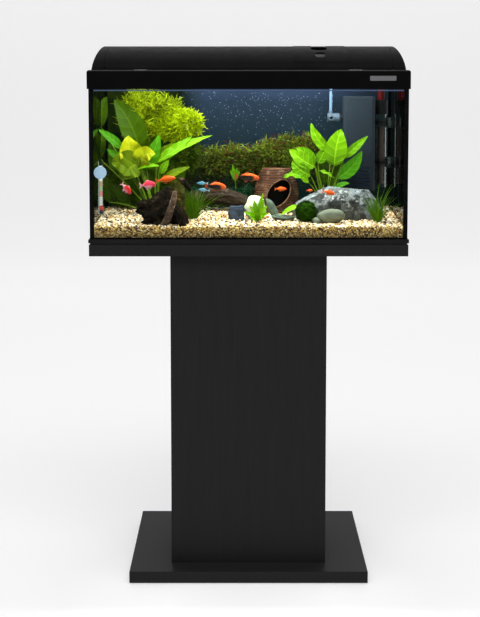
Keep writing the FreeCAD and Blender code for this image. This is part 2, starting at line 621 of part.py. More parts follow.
def granite_rock():
    """A boulder, lofted through three faceted outlines that narrow and lean to the right."""
    base = VALUES["floor_top"] + 22
    # rise, half length, half width, middle in X
    rings = ((0, 80, 38, 172), (38, 84, 40, 175), (66, 44, 22, 190))
    angles = [math.radians(angle) for angle in (10, 62, 118, 165, 214, 262, 318)]
    outlines = []
    for rise, half_x, half_y, x in rings:
        points = [V(x + half_x * math.cos(angle), -22 + half_y * math.sin(angle), base + rise) for angle in angles]
        outlines.append(Part.makePolygon(points + points[:1]))
    item = doc.addObject("Part::Feature", "boulder")
    item.Shape = Part.makeLoft(outlines, True, True)
    return node("granite_rock", item)


def driftwood():
    stump = cone("stump_body", 42, 13, 74, -166, -98, "floor_top + 20", Turn(V(0, 1, 0), 12))
    branch = cone("stump_branch", 9, 6, 82, -130, -86, "floor_top + 28", Turn(V(0, 1, 0), -4))
    stump_solid = fuse("stump", stump, branch)
    ring = doc.addObject("Part::Torus", "log_ring")
    bind(ring, Radius1=76, Radius2=12)
    place(ring, -62, 76, "floor_top - 18", Turn(V(1, 0, 0), 90))
    slab = block("log_slab", (-140, 32), (50, 100), ("floor_top + 30", "floor_top + 90"))
    return node("driftwood", group("driftwood_group", stump_solid, common("log", ring, slab)))


def clay_barrel():
    """Upright clay barrel with a wide leaning opening in its side."""
    base = VALUES["floor_top"] + 30

    def solid(radius_low, radius_mid, radius_high, low, high):
        rim = [V(radius_low, 0, low), V(radius_mid, 0, low + 34), V(radius_high, 0, high)]
        edges = [Part.LineSegment(V(0, 0, low), rim[0]).toShape(),
                 Part.Arc(rim[0], rim[1], rim[2]).toShape(),
                 Part.LineSegment(rim[2], V(0, 0, high)).toShape(),
                 Part.LineSegment(V(0, 0, high), V(0, 0, low)).toShape()]
        return Part.Face(Part.Wire(edges)).revolve(V(0, 0, 0), V(0, 0, 1), 360)

    outer = solid(42, 46, 30, 0, 90)
    inner = solid(37, 41, 25, 8, 85)
    item = doc.addObject("Part::Feature", "barrel_shell")
    item.Shape = outer.cut(inner)
    item.Placement = FreeCAD.Placement(V(58, 78, base), Turn())
    hole = doc.addObject("Part::Ellipse", "barrel_hole_curve")
    bind(hole, MajorRadius=28, MinorRadius=19)
    hole.Placement = FreeCAD.Placement(V(62, 20, base + 42), Turn(V(1, 0, 0), 90) * Turn(V(0, 0, 1), 55))
    window = doc.addObject("Part::Extrusion", "barrel_window")
    window.Base = hole
    window.DirMode = "Custom"
    window.Dir = V(0, 1, 0)
    window.Solid = True
    window.LengthFwd = 55
    return node("clay_barrel", cut("barrel", item, window))


def plants():
    """Closed outer shapes of the plants, each clear of its neighbours."""
    ground = "floor_top + 32"
    left_stem = rod("left_stem", 10, 40, -185, -4, ground)
    left_fan = cone("left_fan", 10, 74, 142, -185, -4, ground + " + 36")
    left = node("sword_plant_left", fuse("left_plant", left_stem, left_fan))
    right_stem = rod("right_stem", 7, 84, 155, 36, ground)
    right_fan = cone("right_fan", 7, 46, 88, 155, 36, ground + " + 80")
    right = node("sword_plant_right", fuse("right_plant", right_stem, right_fan))
    node("moss_bush", ellipsoid("bush", (75, 30, 44), -165, 109, "floor_top + 232"))
    hedge = block("hedge", (-112, 160), (128, 143), ("floor_top + 34", "floor_top + 200"))
    tall = rod("tall_leaves", 20, 250, -264, 118, "floor_top + 34")
    rear = node("rear_plants", group("rear_plant_group", hedge, tall))
    tufts = [cone("tuft%d" % number, 7, 22, 70, x, y, "floor_top + 26")
             for number, (x, y) in enumerate(((-106, -36), (251, -86)))]
    ball = ellipsoid("moss_ball", (22, 22, 22), 112, -80, "floor_top + 46")
    anubias = cone("anubias_fan", 8, 16, 50, 18, -78, "floor_top + 24")
    return left, right, rear, node("low_plants", group("low_plant_group", *tufts, ball, anubias))


FISH = (
    # x, y, height over the tank's floor, length, height, thickness
    (0, -60, 111, 52, 15, 8), (-62, -64, 93.5, 42, 15, 8), (-158, -72, 108, 40, 13, 7),
    (-193, -84, 98, 33, 17, 6), (-235, -86, 90, 20, 20, 6), (-90, -92, 102, 24, 7, 4),
    (-87, -92, 89, 24, 7, 4), (66, 8, 83, 26, 9, 5), (156, -82, 83, 25, 10, 5), (119, -80, 87, 13, 6, 4),
)


def fish():
    swimmers = [ellipsoid("fish%d" % number, (length / 2, thick / 2, tall / 2), x, y, "floor_top + %s" % rise)
                for number, (x, y, rise, length, tall, thick) in enumerate(FISH)]
    node("fish", group("shoal", *swimmers))


def gravel(silicone, *set_in_it):
    """Sloping bed, higher at the rear, with the decoration and the plants set into it."""
    low, near, far = VALUES["floor_top"], VALUES["gravel_front"], VALUES["gravel_back"]
    half_x = VALUES["half_length"] - VALUES["glass"]
    half_y = VALUES["half_width"] - VALUES["glass"]
    outline = [V(-half_x, -half_y, low), V(-half_x, half_y, low), V(-half_x, half_y, low + far),
               V(-half_x, -half_y, low + near)]
    item = doc.addObject("Part::Feature", "gravel_wedge")
    item.Shape = Part.Face(Part.makePolygon(outline + outline[:1])).extrude(V(2 * half_x, 0, 0))
    item.Placement = FreeCAD.Placement()
    node("gravel_bed", cut("gravel", item, silicone, *set_in_it))


def check_and_write():
    doc.recompute()
    for item in doc.Objects:
        if "Invalid" in item.State or "Error" in item.State:
            raise RuntimeError("%s did not compute: %s" % (item.Name, item.State))
    os.makedirs("parts", exist_ok=True)
    for item in NODES:
        shape = item.Shape
        if shape.isNull() or not shape.isValid() or not shape.Solids:
            raise RuntimeError("%s has no valid solid" % item.Label)
        shape.exportStep("parts/%s.step" % item.Label)
        print("%-24s %3d solids %12.1f mm3" % (item.Label, len(shape.Solids), shape.Volume))
    print(len(NODES), "sub-parts")


VALUES = make_sheets()
stand()
seams = tank()
hood_frame()
hood_covers()
node("suction_cups", group("cup_group", *water_filter(), *heater()))
thermometer()
stones = river_stones()
rock = granite_rock()
wood = driftwood()
barrel = clay_barrel()
greens = plants()
fish()
gravel(seams, stones, rock, wood, barrel, *greens)
check_and_write()
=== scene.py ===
import math
import random

import bmesh
import bpy
from mathutils import Matrix, Vector, noise


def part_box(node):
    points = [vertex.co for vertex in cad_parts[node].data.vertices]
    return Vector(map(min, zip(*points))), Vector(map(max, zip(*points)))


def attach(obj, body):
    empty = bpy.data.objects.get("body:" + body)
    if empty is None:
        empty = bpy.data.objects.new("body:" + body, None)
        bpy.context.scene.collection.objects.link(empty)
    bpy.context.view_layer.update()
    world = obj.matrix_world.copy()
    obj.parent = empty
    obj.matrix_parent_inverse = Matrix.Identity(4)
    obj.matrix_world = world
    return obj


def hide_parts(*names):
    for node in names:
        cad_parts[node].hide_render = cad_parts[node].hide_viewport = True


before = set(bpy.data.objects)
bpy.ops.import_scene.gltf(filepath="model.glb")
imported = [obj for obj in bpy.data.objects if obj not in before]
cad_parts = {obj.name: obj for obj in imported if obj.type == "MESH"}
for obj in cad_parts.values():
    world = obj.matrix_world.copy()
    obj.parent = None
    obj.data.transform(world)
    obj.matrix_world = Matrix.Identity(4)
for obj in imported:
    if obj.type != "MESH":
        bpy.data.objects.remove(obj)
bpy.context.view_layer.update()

MM = 0.001
ROOT = "tank_and_stand"
FULL_TURN = 2 * math.pi
BOXES = {}


def corners(node):
    """Lowest and highest corner of a CAD node's box, looked up once."""
    if node not in BOXES:
        BOXES[node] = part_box(node)
    low, high = BOXES[node]
    return Vector(low), Vector(high)


def middle(node):
    low, high = corners(node)
    return (low + high) / 2


FLOOR = corners("glass_bottom")[1].z


def in_tank(x, y, z):
    """A place in mm: x and y from the middle of the tank, z from the upper face of its floor."""
    return Vector((x * MM, y * MM, FLOOR + z * MM))


# ---- materials ----------------------------------------------------------------------------

class Nodes:
    """Short names for building a material's node tree."""

    def __init__(self, name):
        self.material = bpy.data.materials.new(name)
        self.material.use_nodes = True
        self.tree = self.material.node_tree
        self.shader = self.tree.nodes["Principled BSDF"]

    def put(self, value, socket):
        if isinstance(value, bpy.types.NodeSocket):
            self.tree.links.new(value, socket)
        elif socket.type == "RGBA" and len(value) == 3:
            socket.default_value = (*value, 1)
        else:
            socket.default_value = value

    def add(self, kind, inputs=None, **settings):
        item = self.tree.nodes.new(kind)
        for key, value in settings.items():
            setattr(item, key, value)
        for key, value in (inputs or {}).items():
            self.put(value, item.inputs[key])
        return item

    def set(self, **values):
        """Set sockets of the main shader; underscores stand for spaces."""
        for key, value in values.items():
            self.put(value, self.shader.inputs[key.replace("_", " ")])

    def place(self, kind="Object"):
        return self.add("ShaderNodeTexCoord").outputs[kind]

    def axis(self, index, vector=None):
        return self.add("ShaderNodeSeparateXYZ", {"Vector": vector or self.place()}).outputs[index]

    def noise(self, scale, detail=4.0, stretch=None, rough=0.55):
        vector = self.place()
        if stretch:
            vector = self.add("ShaderNodeMapping", {"Vector": vector, "Scale": stretch}).outputs["Vector"]
        return self.add("ShaderNodeTexNoise", {"Vector": vector, "Scale": scale, "Detail": detail,
                                               "Roughness": rough}).outputs["Fac"]

    def cells(self, scale, output="Distance"):
        return self.add("ShaderNodeTexVoronoi", {"Vector": self.place(), "Scale": scale}).outputs[output]

    def island(self):
        """A random number for each loose bit of the mesh."""
        return self.add("ShaderNodeNewGeometry").outputs["Random Per Island"]

    def ramp(self, factor, stops, hard=True):
        item = self.add("ShaderNodeValToRGB", {"Fac": factor})
        item.color_ramp.interpolation = "CONSTANT" if hard else "LINEAR"
        points = item.color_ramp.elements
        while len(points) < len(stops):
            points.new(0.5)
        for point, (at, colour) in zip(points, stops):
            point.position = at
            point.color = (*colour, 1)
        return item.outputs["Color"]

    def span(self, value, low, high, to_low=0.0, to_high=1.0):
        return self.add("ShaderNodeMapRange", {"Value": value, "From Min": low, "From Max": high,
                                               "To Min": to_low, "To Max": to_high}).outputs["Result"]

    def blot(self, scale, detail, low, high, to_low=0.0, to_high=1.0):
        """Noise with its middle values spread over a range."""
        return self.span(self.noise(scale, detail), low, high, to_low, to_high)

    def math(self, kind, a, b=0.0):
        return self.add("ShaderNodeMath", {0: a, 1: b}, operation=kind).outputs[0]

    def plus(self, a, b):
        return self.math("ADD", a, b)

    def times(self, a, b):
        return self.math("MULTIPLY", a, b)

    def mix(self, factor, a, b):
        return self.add("ShaderNodeMix", {0: factor, 6: a, 7: b}, data_type="RGBA").outputs[2]

    def bump(self, height, distance, strength):
        """Roughen the surface, and give the finished material."""
        item = self.add("ShaderNodeBump", {"Height": height, "Distance": distance, "Strength": strength})
        self.put(item.outputs["Normal"], self.shader.inputs["Normal"])
        return self.material

    def see_through(self, tint, mirror, smear, share):
        """Swap the shader for a clear sheet with a mirror share, and give the finished material."""
        gloss = self.add("ShaderNodeBsdfGlossy", {"Color": mirror, "Roughness": smear}).outputs[0]
        clear = self.add("ShaderNodeBsdfTransparent", {"Color": tint}).outputs[0]
        mixed = self.add("ShaderNodeMixShader", {0: share, 1: clear, 2: gloss}).outputs[0]
        self.tree.nodes.remove(self.shader)
        self.put(mixed, self.tree.nodes["Material Output"].inputs["Surface"])
        return self.material


def scaled(colour, factor):
    return tuple(min(1.0, channel * factor) for channel in colour)


def plastic(name, colour, rough, grain=900.0, depth=0.00006, gloss=0.5):
    """Moulded plastic: fine spark-eroded grain with slightly uneven gloss."""
    n = Nodes(name)
    paler = tuple(channel * 1.25 + 0.001 for channel in colour)
    n.set(Base_Color=n.mix(n.blot(14.0, 3.0, 0.35, 0.7), colour, paler), Specular_IOR_Level=gloss,
          Roughness=n.blot(60.0, 5.0, 0.3, 0.7, rough - 0.05, rough + 0.07))
    return n.bump(n.noise(grain, 2.0), depth, 0.5)


def band_plastic(name):
    """Satin plastic of the hood's frame; its upward ledge is painted paler as a highlight."""
    n = Nodes(name)
    facing_up = n.axis(2, n.add("ShaderNodeNewGeometry").outputs["Normal"])
    # Painted highlight: faces that look upward get a paler grey.
    n.set(Base_Color=n.mix(n.span(facing_up, 0.6, 0.9), (0.0018,) * 3, (0.085,) * 3),
          Roughness=n.blot(60.0, 5.0, 0.3, 0.7, 0.38, 0.5), Specular_IOR_Level=0.05)
    return n.bump(n.noise(900.0, 2.0), 0.00002, 0.3)


def laminate(name):
    """Black laminated board with a faint open-pore grain along the height."""
    n = Nodes(name)
    grain = n.noise(1.0, 6.0, (420.0, 420.0, 9.0), 0.6)
    tint = n.mix(n.span(grain, 0.3, 0.75), (0.0145, 0.0145, 0.0146), (0.0202, 0.0200, 0.0197))
    tint = n.mix(n.blot(3.2, 3.0, 0.35, 0.7, 0.0, 0.5), tint, (0.0168, 0.0168, 0.0172))
    n.set(Base_Color=tint, Roughness=n.span(grain, 0.3, 0.8, 0.42, 0.55), Specular_IOR_Level=0.06)
    return n.bump(grain, 0.00008, 0.35)


def clear_glass(name, tint, ior):
    n = Nodes(name)
    share = n.add("ShaderNodeFresnel", {"IOR": ior}).outputs[0]
    return n.see_through(tint, (1, 1, 1), n.blot(6.0, 3.0, 0.4, 0.7, 0.012, 0.03), share)


def water_paint(name):
    n = Nodes(name)
    return n.see_through((0.9, 0.96, 1.0), (0.75, 0.86, 1.0), 0.08, n.blot(50.0, 3.0, 0.35, 0.75, 0.02, 0.12))


def rubber(name, colour, rough):
    n = Nodes(name)
    n.set(Base_Color=n.mix(n.blot(40.0, 4.0, 0.3, 0.7), colour, scaled(colour, 1.6)), Specular_IOR_Level=0.08,
          Roughness=n.blot(90.0, 3.0, 0.3, 0.7, rough - 0.08, rough + 0.08))
    return n.bump(n.noise(350.0, 3.0), 0.0001, 0.4)


def metal(name, colour, rough):
    n = Nodes(name)
    brush = n.noise(1.0, 4.0, (20.0, 900.0, 900.0))
    n.set(Base_Color=n.mix(n.span(brush, 0.3, 0.7), colour, scaled(colour, 0.8)), Metallic=1.0,
          Roughness=n.span(brush, 0.3, 0.7, rough - 0.06, rough + 0.1))
    return n.bump(brush, 0.00003, 0.4)


def felt(name, colour):
    n = Nodes(name)
    n.set(Base_Color=n.mix(n.noise(500.0), colour, scaled(colour, 2)), Roughness=0.95, Sheen_Weight=0.4)
    return n.bump(n.noise(800.0), 0.0003, 0.7)


def foam(name, colour):
    n = Nodes(name)
    pores = n.cells(420.0)
    n.set(Base_Color=n.ramp(pores, [(0.15, scaled(colour, 0.3)), (0.55, colour)], False), Roughness=0.92)
    return n.bump(pores, 0.0006, 0.7)


def translucent(name, colour, rough, alpha):
    """Milky soft plastic, as in suction cups and air hose."""
    n = Nodes(name)
    n.set(Base_Color=n.mix(n.noise(70.0, 3.0), colour, scaled(colour, 1.25)), Alpha=alpha,
          Roughness=n.blot(120.0, 3.0, 0.3, 0.7, rough - 0.08, rough + 0.1),
          Subsurface_Weight=0.2, Subsurface_Radius=(0.004, 0.004, 0.004))
    return n.bump(n.noise(240.0, 3.0), 0.0001, 0.3)


def glowing(name, colour, strength):
    n = Nodes(name)
    soft = n.mix(n.noise(30.0, 2.0), colour, scaled(colour, 0.93))
    n.set(Base_Color=soft, Emission_Color=soft, Emission_Strength=strength, Roughness=0.4)
    return n.material


def backing(name):
    """Printed backing: hazy blue above, dark green growth below and at the left, painted shade towards the
    right, and a glow as painted light.
    """
    n = Nodes(name)
    low, high = corners("background_sheet")
    height = n.plus(n.span(n.axis(2), low.z, high.z), n.blot(5.0, 5.0, 0.3, 0.7, -0.05, 0.05))
    blue = n.ramp(height, [(0.0, (0.003, 0.008, 0.006)), (0.28, (0.005, 0.016, 0.013)),
                           (0.48, (0.011, 0.026, 0.032)), (0.72, (0.018, 0.037, 0.055)),
                           (0.90, (0.026, 0.050, 0.086)), (1.0, (0.05, 0.085, 0.17))], False)
    growth = n.mix(n.blot(30.0, 6.0, 0.4, 0.7), (0.004, 0.009, 0.003), (0.016, 0.030, 0.004))
    colour = n.mix(n.span(n.axis(0), -0.14, -0.09, 1.0, 0.0), blue, growth)
    # Painted shade: the right-hand part is mixed towards near black.
    colour = n.mix(n.span(n.axis(0), 0.13, 0.26, 0.0, 0.8), colour, (0.005, 0.009, 0.006))
    # Painted light: the sheet glows with its own colour over a near-black base.
    n.set(Base_Color=n.mix(0.92, colour, (0.001,) * 3), Emission_Color=colour, Emission_Strength=0.85,
          Roughness=0.8, Specular_IOR_Level=0.05)
    return n.material


def grain_paint(name, stops, shade=None):
    """One colour for each grain, from a hard-stepped ramp, with painted shade darker towards the foot of the
    bed.
    """
    n = Nodes(name)
    pick, spots = n.island(), n.noise(700.0, 3.0)
    colour = n.mix(n.span(spots, 0.45, 0.65, 0.0, 0.35), n.ramp(pick, stops), (0.20, 0.13, 0.05))
    # Painted shade: grains low in the bed are mixed towards a dark brown.
    if shade:
        colour = n.mix(n.span(n.axis(2), *shade, 0.75, 0.0), colour, (0.035, 0.020, 0.006))
    n.set(Base_Color=colour, Roughness=n.span(pick, 0.0, 1.0, 0.3, 0.6), Specular_IOR_Level=0.6)
    return n.bump(spots, 0.0002, 0.5)


def leaf_paint(name, dark, light, vein):
    """Leaf blade with a pale midrib and curved side veins, from the leaf's own coordinates."""
    n = Nodes(name)
    place = n.place("UV")
    across, along = n.axis(0, place), n.axis(1, place)
    side = n.math("ABSOLUTE", n.span(across, 0.0, 1.0, -1.0, 1.0))
    ridges = n.math("SINE", n.math("SUBTRACT", n.times(along, 34.0), n.times(side, 5.0)))
    rib = n.span(side, 0.03, 0.10, 0.8, 0.0)
    body = n.mix(n.times(n.plus(n.blot(26.0, 4.0, 0.3, 0.72), n.island()), 0.5), dark, light)
    body = n.mix(n.span(along, 0.0, 0.35, 0.45, 0.0), body, scaled(dark, 0.55))
    body = n.mix(rib, n.mix(n.span(ridges, 0.86, 1.0, 0.0, 0.45), body, vein), vein)
    # Painted light: the leaves glow faintly with their own colour.
    n.set(Base_Color=body, Roughness=0.36, Specular_IOR_Level=0.10, Emission_Color=body,
          Emission_Strength=0.10)
    return n.bump(n.math("SUBTRACT", n.times(ridges, 0.4), n.times(rib, 0.9)), 0.0009, 0.6)


def twig_paint(name, dark, light, odd=None, shade=None):
    """Fine weed: each twig has its own green, a quarter have an odd colour, the foot is darker with painted
    shade, and the twigs glow faintly as painted light.
    """
    n = Nodes(name)
    pick = n.island()
    colour = n.mix(n.times(n.plus(pick, n.blot(30.0, 3.0, 0.3, 0.7)), 0.5), dark, light)
    if odd:
        colour = n.mix(n.span(pick, 0.75, 0.76), colour, odd)
    # Painted shade: the foot is mixed towards a darker green.
    if shade:
        colour = n.mix(n.span(n.axis(2), *shade, 0.85, 0.0), colour, scaled(dark, 0.4))
    # Painted light: the twigs glow faintly with their own colour.
    n.set(Base_Color=colour, Roughness=0.6, Emission_Color=colour, Emission_Strength=0.10,
          Specular_IOR_Level=0.06)
    return n.bump(n.noise(600.0, 2.0), 0.0002, 0.4)


def granite_paint(name):
    """Speckled granite with pale and black patches, shaded low on its front."""
    n = Nodes(name)
    grey = n.add("ShaderNodeSeparateColor", {"Color": n.cells(230.0, "Color")}).outputs[0]
    colour = n.ramp(grey, [(0.0, (0.012, 0.013, 0.014)), (0.2, (0.07, 0.075, 0.075)),
                           (0.42, (0.10, 0.11, 0.10)), (0.68, (0.24, 0.255, 0.245)),
                           (0.9, (0.46, 0.48, 0.46))])
    cloud = n.noise(18.0, 5.0)
    waist = middle("granite_rock").z
    shadow = n.times(n.span(n.axis(2), waist - 0.02, waist + 0.026, 0.72, 0.0),
                     n.span(cloud, 0.3, 0.6, 0.6, 1.2))
    for share, tint in ((n.span(cloud, 0.4, 0.7, 0.0, 0.6), (0.11, 0.125, 0.115)),
                        (n.blot(14.0, 5.0, 0.52, 0.60, 0.0, 0.5), (0.24, 0.29, 0.30)),
                        (shadow, (0.04, 0.047, 0.036)),
                        (n.blot(75.0, 6.0, 0.515, 0.55, 0.0, 0.92), (0.016, 0.019, 0.017))):
        colour = n.mix(share, colour, tint)
    n.set(Base_Color=colour, Roughness=n.span(grey, 0.0, 1.0, 0.45, 0.8))
    return n.bump(n.plus(n.noise(120.0, 6.0), n.times(grey, 0.3)), 0.0012, 0.6)


def stone_paint(name, dark, light, streak, scale=26.0):
    n = Nodes(name)
    bands = n.noise(scale, 5.0, (1.0, 1.0, 2.6))
    colour = n.mix(n.span(bands, 0.3, 0.7), dark, light)
    colour = n.mix(n.blot(scale * 7, 4.0, 0.6, 0.75, 0.0, 0.6), colour, streak)
    n.set(Base_Color=colour, Roughness=n.span(bands, 0.3, 0.7, 0.35, 0.6))
    return n.bump(n.noise(scale * 9, 5.0), 0.0004, 0.5)


def bark_paint(name, dark, light, edge):
    n = Nodes(name)
    fibre, lump = n.noise(1.0, 7.0, (60.0, 150.0, 150.0), 0.65), n.noise(70.0, 6.0)
    colour = n.mix(n.span(fibre, 0.35, 0.72), dark, light)
    colour = n.mix(n.span(lump, 0.58, 0.72, 0.0, 0.8), colour, edge)
    n.set(Base_Color=colour, Roughness=n.span(lump, 0.3, 0.7, 0.65, 0.95), Specular_IOR_Level=0.12)
    return n.bump(n.plus(fibre, lump), 0.0026, 0.9)


GROOVES = 1250.0


def clay_paint(name):
    """Fired clay, dark in the turned grooves, with pale lime patches."""
    n = Nodes(name)
    cloud = n.noise(40.0, 5.0)
    colour = n.mix(n.span(cloud, 0.3, 0.7), (0.050, 0.017, 0.007), (0.145, 0.056, 0.024))
    rings = n.math("SINE", n.times(n.axis(2), GROOVES))
    colour = n.mix(n.span(rings, -0.7, 0.2, 0.92, 0.0), colour, (0.006, 0.003, 0.002))
    colour = n.mix(n.blot(60.0, 5.0, 0.54, 0.66, 0.0, 0.5), colour, (0.22, 0.13, 0.07))
    n.set(Base_Color=colour, Roughness=n.span(cloud, 0.3, 0.7, 0.55, 0.85))
    return n.bump(n.noise(300.0), 0.0004, 0.5)


def fish_paint(name, back, belly, tip, level):
    """Fish skin: back and belly colours meet along the side, with scale-like cells."""
    n = Nodes(name)
    place = n.place("UV")
    up, along = n.axis(1, place), n.axis(0, place)
    line = n.plus(up, n.blot(160.0, 3.0, 0.3, 0.7, -0.05, 0.05))
    under = n.mix(n.span(along, 0.16, 0.30), back, belly)
    colour = n.mix(n.span(line, level - 0.06, level + 0.05), under, back)
    colour = n.mix(n.span(along, 0.72, 0.9), colour, tip)
    # Painted light: the fish glow faintly with their own colour.
    n.set(Base_Color=colour, Roughness=0.38, Emission_Color=colour, Emission_Strength=0.10,
          Specular_IOR_Level=0.3)
    return n.bump(n.cells(900.0), 0.0002, 0.4)


def scale_paint(name):
    """Thermometer card: pale strip with fine ticks and a few colour fields, dark ballast below."""
    n = Nodes(name)
    low, high = corners("thermometer_scale")
    tick_pitch = 0.0035
    card = n.ramp(n.span(n.axis(2), low.z, high.z), [
        (0.0, (0.01, 0.01, 0.01)), (0.055, (0.01, 0.01, 0.01)), (0.08, (0.5, 0.02, 0.012)),
        (0.17, (0.55, 0.55, 0.5)), (0.36, (0.62, 0.2, 0.17)), (0.47, (0.3, 0.42, 0.24)),
        (0.56, (0.45, 0.33, 0.18)), (0.68, (0.85, 0.85, 0.8))])
    ticks = n.math("SINE", n.times(n.axis(2), FULL_TURN / tick_pitch))
    card = n.mix(n.span(ticks, 0.75, 0.9, 0.0, 0.55), card, (0.06, 0.05, 0.05))
    # Painted light: the card glows with its own colour.
    n.set(Base_Color=card, Roughness=0.5, Emission_Color=card, Emission_Strength=0.6)
    return n.bump(ticks, 0.0001, 0.2)


def floor_paint(name):
    """Pale studio floor, a little brighter towards the backdrop, with painted light just before the base board.
    """
    n = Nodes(name)
    grey = n.mix(n.noise(0.8, 2.0), (0.745, 0.74, 0.745), (0.765, 0.76, 0.765))
    # Painted light: a patch just before the base board is lifted against the base's contact shadow.
    beside = n.span(n.math("ABSOLUTE", n.axis(0)), 0.15, 0.34, 0.15, 0.0)
    before = n.times(n.span(n.axis(1), -0.85, -0.20), n.span(n.axis(1), -0.18, -0.10, 1.0, 0.0))
    n.set(Base_Color=grey, Roughness=0.6, Specular_IOR_Level=0.2, Emission_Color=grey,
          Emission_Strength=n.plus(n.span(n.axis(1), 0.4, 3.4, 0.40, 0.53), n.times(beside, before)))
    return n.bump(n.noise(30.0, 2.0), 0.0001, 0.1)


PAINT = {
    "board": laminate("black_laminate"),
    "frame": plastic("black_satin_plastic", (0.0085, 0.0084, 0.0082), 0.45, gloss=0.08),
    "hood": plastic("hood_plastic", (0.0050, 0.0050, 0.0049), 0.42, 1400.0, 0.00002, 0.018),
    "glass": clear_glass("float_glass", (0.985, 0.995, 0.99), 1.075),
    "front_glass": clear_glass("front_glass", (0.985, 0.995, 0.99), 1.018),
    "tube_glass": clear_glass("tube_glass", (0.93, 0.97, 0.96), 1.21),
    "band": band_plastic("band_plastic"),
    "silicone": rubber("black_silicone", (0.0008, 0.0008, 0.0008), 0.5),
    "mat": foam("black_foam", (0.012, 0.012, 0.012)),
    "felt": felt("dark_felt", (0.03, 0.03, 0.03)),
    "backing": backing("printed_backing_painted_glow"),
    "badge": plastic("badge_grey", (0.12, 0.12, 0.125), 0.3),
    "steel": metal("zinc_steel", (0.6, 0.6, 0.62), 0.3),
    "aluminium": metal("satin_aluminium", (0.8, 0.8, 0.82), 0.35),
    "lens": glowing("opal_lens", (0.95, 0.97, 1.0), 1.2),
    "beech": bark_paint("beech", (0.5, 0.36, 0.22), (0.66, 0.5, 0.32), (0.55, 0.4, 0.26)),
    "pump": plastic("pump_plastic", (0.0085, 0.013, 0.0175), 0.5, 700.0, 0.0001, 0.15),
    "nozzle": plastic("nozzle_plastic", (0.045, 0.068, 0.090), 0.4, 700.0, 0.0001, 0.3),
    "sponge": foam("blue_sponge", (0.03, 0.09, 0.22)),
    "ceramic": plastic("white_ceramic", (0.7, 0.69, 0.66), 0.25),
    "magnet": plastic("magnet_black", (0.04, 0.04, 0.042), 0.5),
    "hose": translucent("clear_hose", (0.10, 0.17, 0.25), 0.3, 0.75),
    "cup": translucent("clear_cup", (0.45, 0.62, 0.78), 0.28, 0.7),
    "dark_cup": translucent("dark_cup", (0.02, 0.03, 0.028), 0.35, 0.8),
    "core": plastic("heater_core", (0.035, 0.016, 0.012), 0.5),
    "heater_black": plastic("heater_black", (0.004, 0.005, 0.005), 0.45, gloss=0.15),
    "red": plastic("red_plastic", (0.055, 0.002, 0.0015), 0.4, gloss=0.15),
    "card": scale_paint("thermometer_card"),
}

CAD_PAINT = {
    "board": "base_board column_front_panel column_rear_panel column_left_panel column_right_panel"
             " column_brace top_board",
    "felt": "base_glides", "mat": "levelling_mat", "beech": "column_dowels", "frame": "tank_base_frame",
    "steel": "stand_screws flap_pins hatch_pins", "silicone": "silicone_joints",
    "front_glass": "glass_front", "glass": "glass_bottom glass_rear glass_left glass_right",
    "backing": "background_sheet", "band": "hood_frame grip_cup", "badge": "badge",
    "hood": "hood_end_left hood_end_right hood_rear_cover main_flap feeding_flap light_clips",
    "aluminium": "light_housing", "lens": "light_lens", "pump": "filter_canister filter_head filter_bracket",
    "nozzle": "filter_nozzle", "sponge": "filter_sponge", "ceramic": "impeller_shaft", "magnet": "impeller",
    "hose": "air_intake_tube", "cup": "thermometer_cup", "dark_cup": "suction_cups",
    "tube_glass": "heater_tube thermometer_tube", "core": "heater_element",
    "heater_black": "heater_head heater_rings", "red": "heater_dial", "card": "thermometer_scale",
}


def paint_cad():
    for paint, names in CAD_PAINT.items():
        for name in names.split():
            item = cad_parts[name]
            if not item.material_slots:
                item.data.materials.append(PAINT[paint])
            for entry in item.material_slots:
                entry.material = PAINT[paint]


# ---- meshes -------------------------------------------------------------------------------

def mesh_object(name, points, faces, paint, smooth=True):
    mesh = bpy.data.meshes.new(name)
    mesh.from_pydata([tuple(point) for point in points], [], faces)
    for face in mesh.polygons:
        face.use_smooth = smooth
    mesh.materials.append(paint)
    item = bpy.data.objects.new(name, mesh)
    bpy.context.scene.collection.objects.link(item)
    return item


def piece(name, points, faces, paint, slot, node=None, body=ROOT, smooth=True, uvs=None):
    """A mesh object from lists, riding on a body. uvs holds one pair for each point."""
    item = mesh_object(name, points, faces, paint, smooth)
    if uvs:
        layer = item.data.uv_layers.new(name="along")
        for loop in item.data.loops:
            layer.data[loop.index].uv = uvs[loop.vertex_index]
    item.data.validate()
    item.data.update()
    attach(item, body)
    if node:
        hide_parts(node)


class Heap:
    """Points, faces and leaf coordinates gathered for one piece."""

    def __init__(self):
        self.points, self.faces, self.uvs = [], [], []

    def add(self, points, faces, uvs=()):
        start = len(self.points)
        self.points.extend(points)
        self.uvs.extend(uvs)
        self.faces.extend(tuple(start + index for index in face) for face in faces)

    def piece(self, name, paint, slot, node, inside=False):
        """Make the piece; inside keeps its points just within the four panes."""
        points = self.points
        if inside:
            gap = 0.001
            left, right = corners("glass_left")[1].x + gap, corners("glass_right")[0].x - gap
            front, rear = corners("glass_front")[1].y + gap, corners("glass_rear")[0].y - gap
            points = [Vector((min(max(p.x, left), right), min(max(p.y, front), rear), p.z)) for p in points]
        piece(name, points, self.faces, paint, slot, node, uvs=self.uvs)


def grid(rows, columns):
    """Faces of a sheet of points that run row by row."""
    return [(a, a + 1, a + columns + 2, a + columns + 1)
            for row in range(rows) for a in range(row * (columns + 1), row * (columns + 1) + columns)]


def wall(rings, sides):
    """Faces of a tube of points that run ring by ring."""
    return [(base + s, base + (s + 1) % sides, base + (s + 1) % sides + sides, base + s + sides)
            for base in range(0, rings * sides, sides) for s in range(sides)]


def ends(rings, sides):
    return [tuple(range(sides)), tuple(reversed(range(rings * sides, (rings + 1) * sides)))]


def flipped(faces):
    """The same faces looking the other way."""
    return [face[::-1] for face in faces]


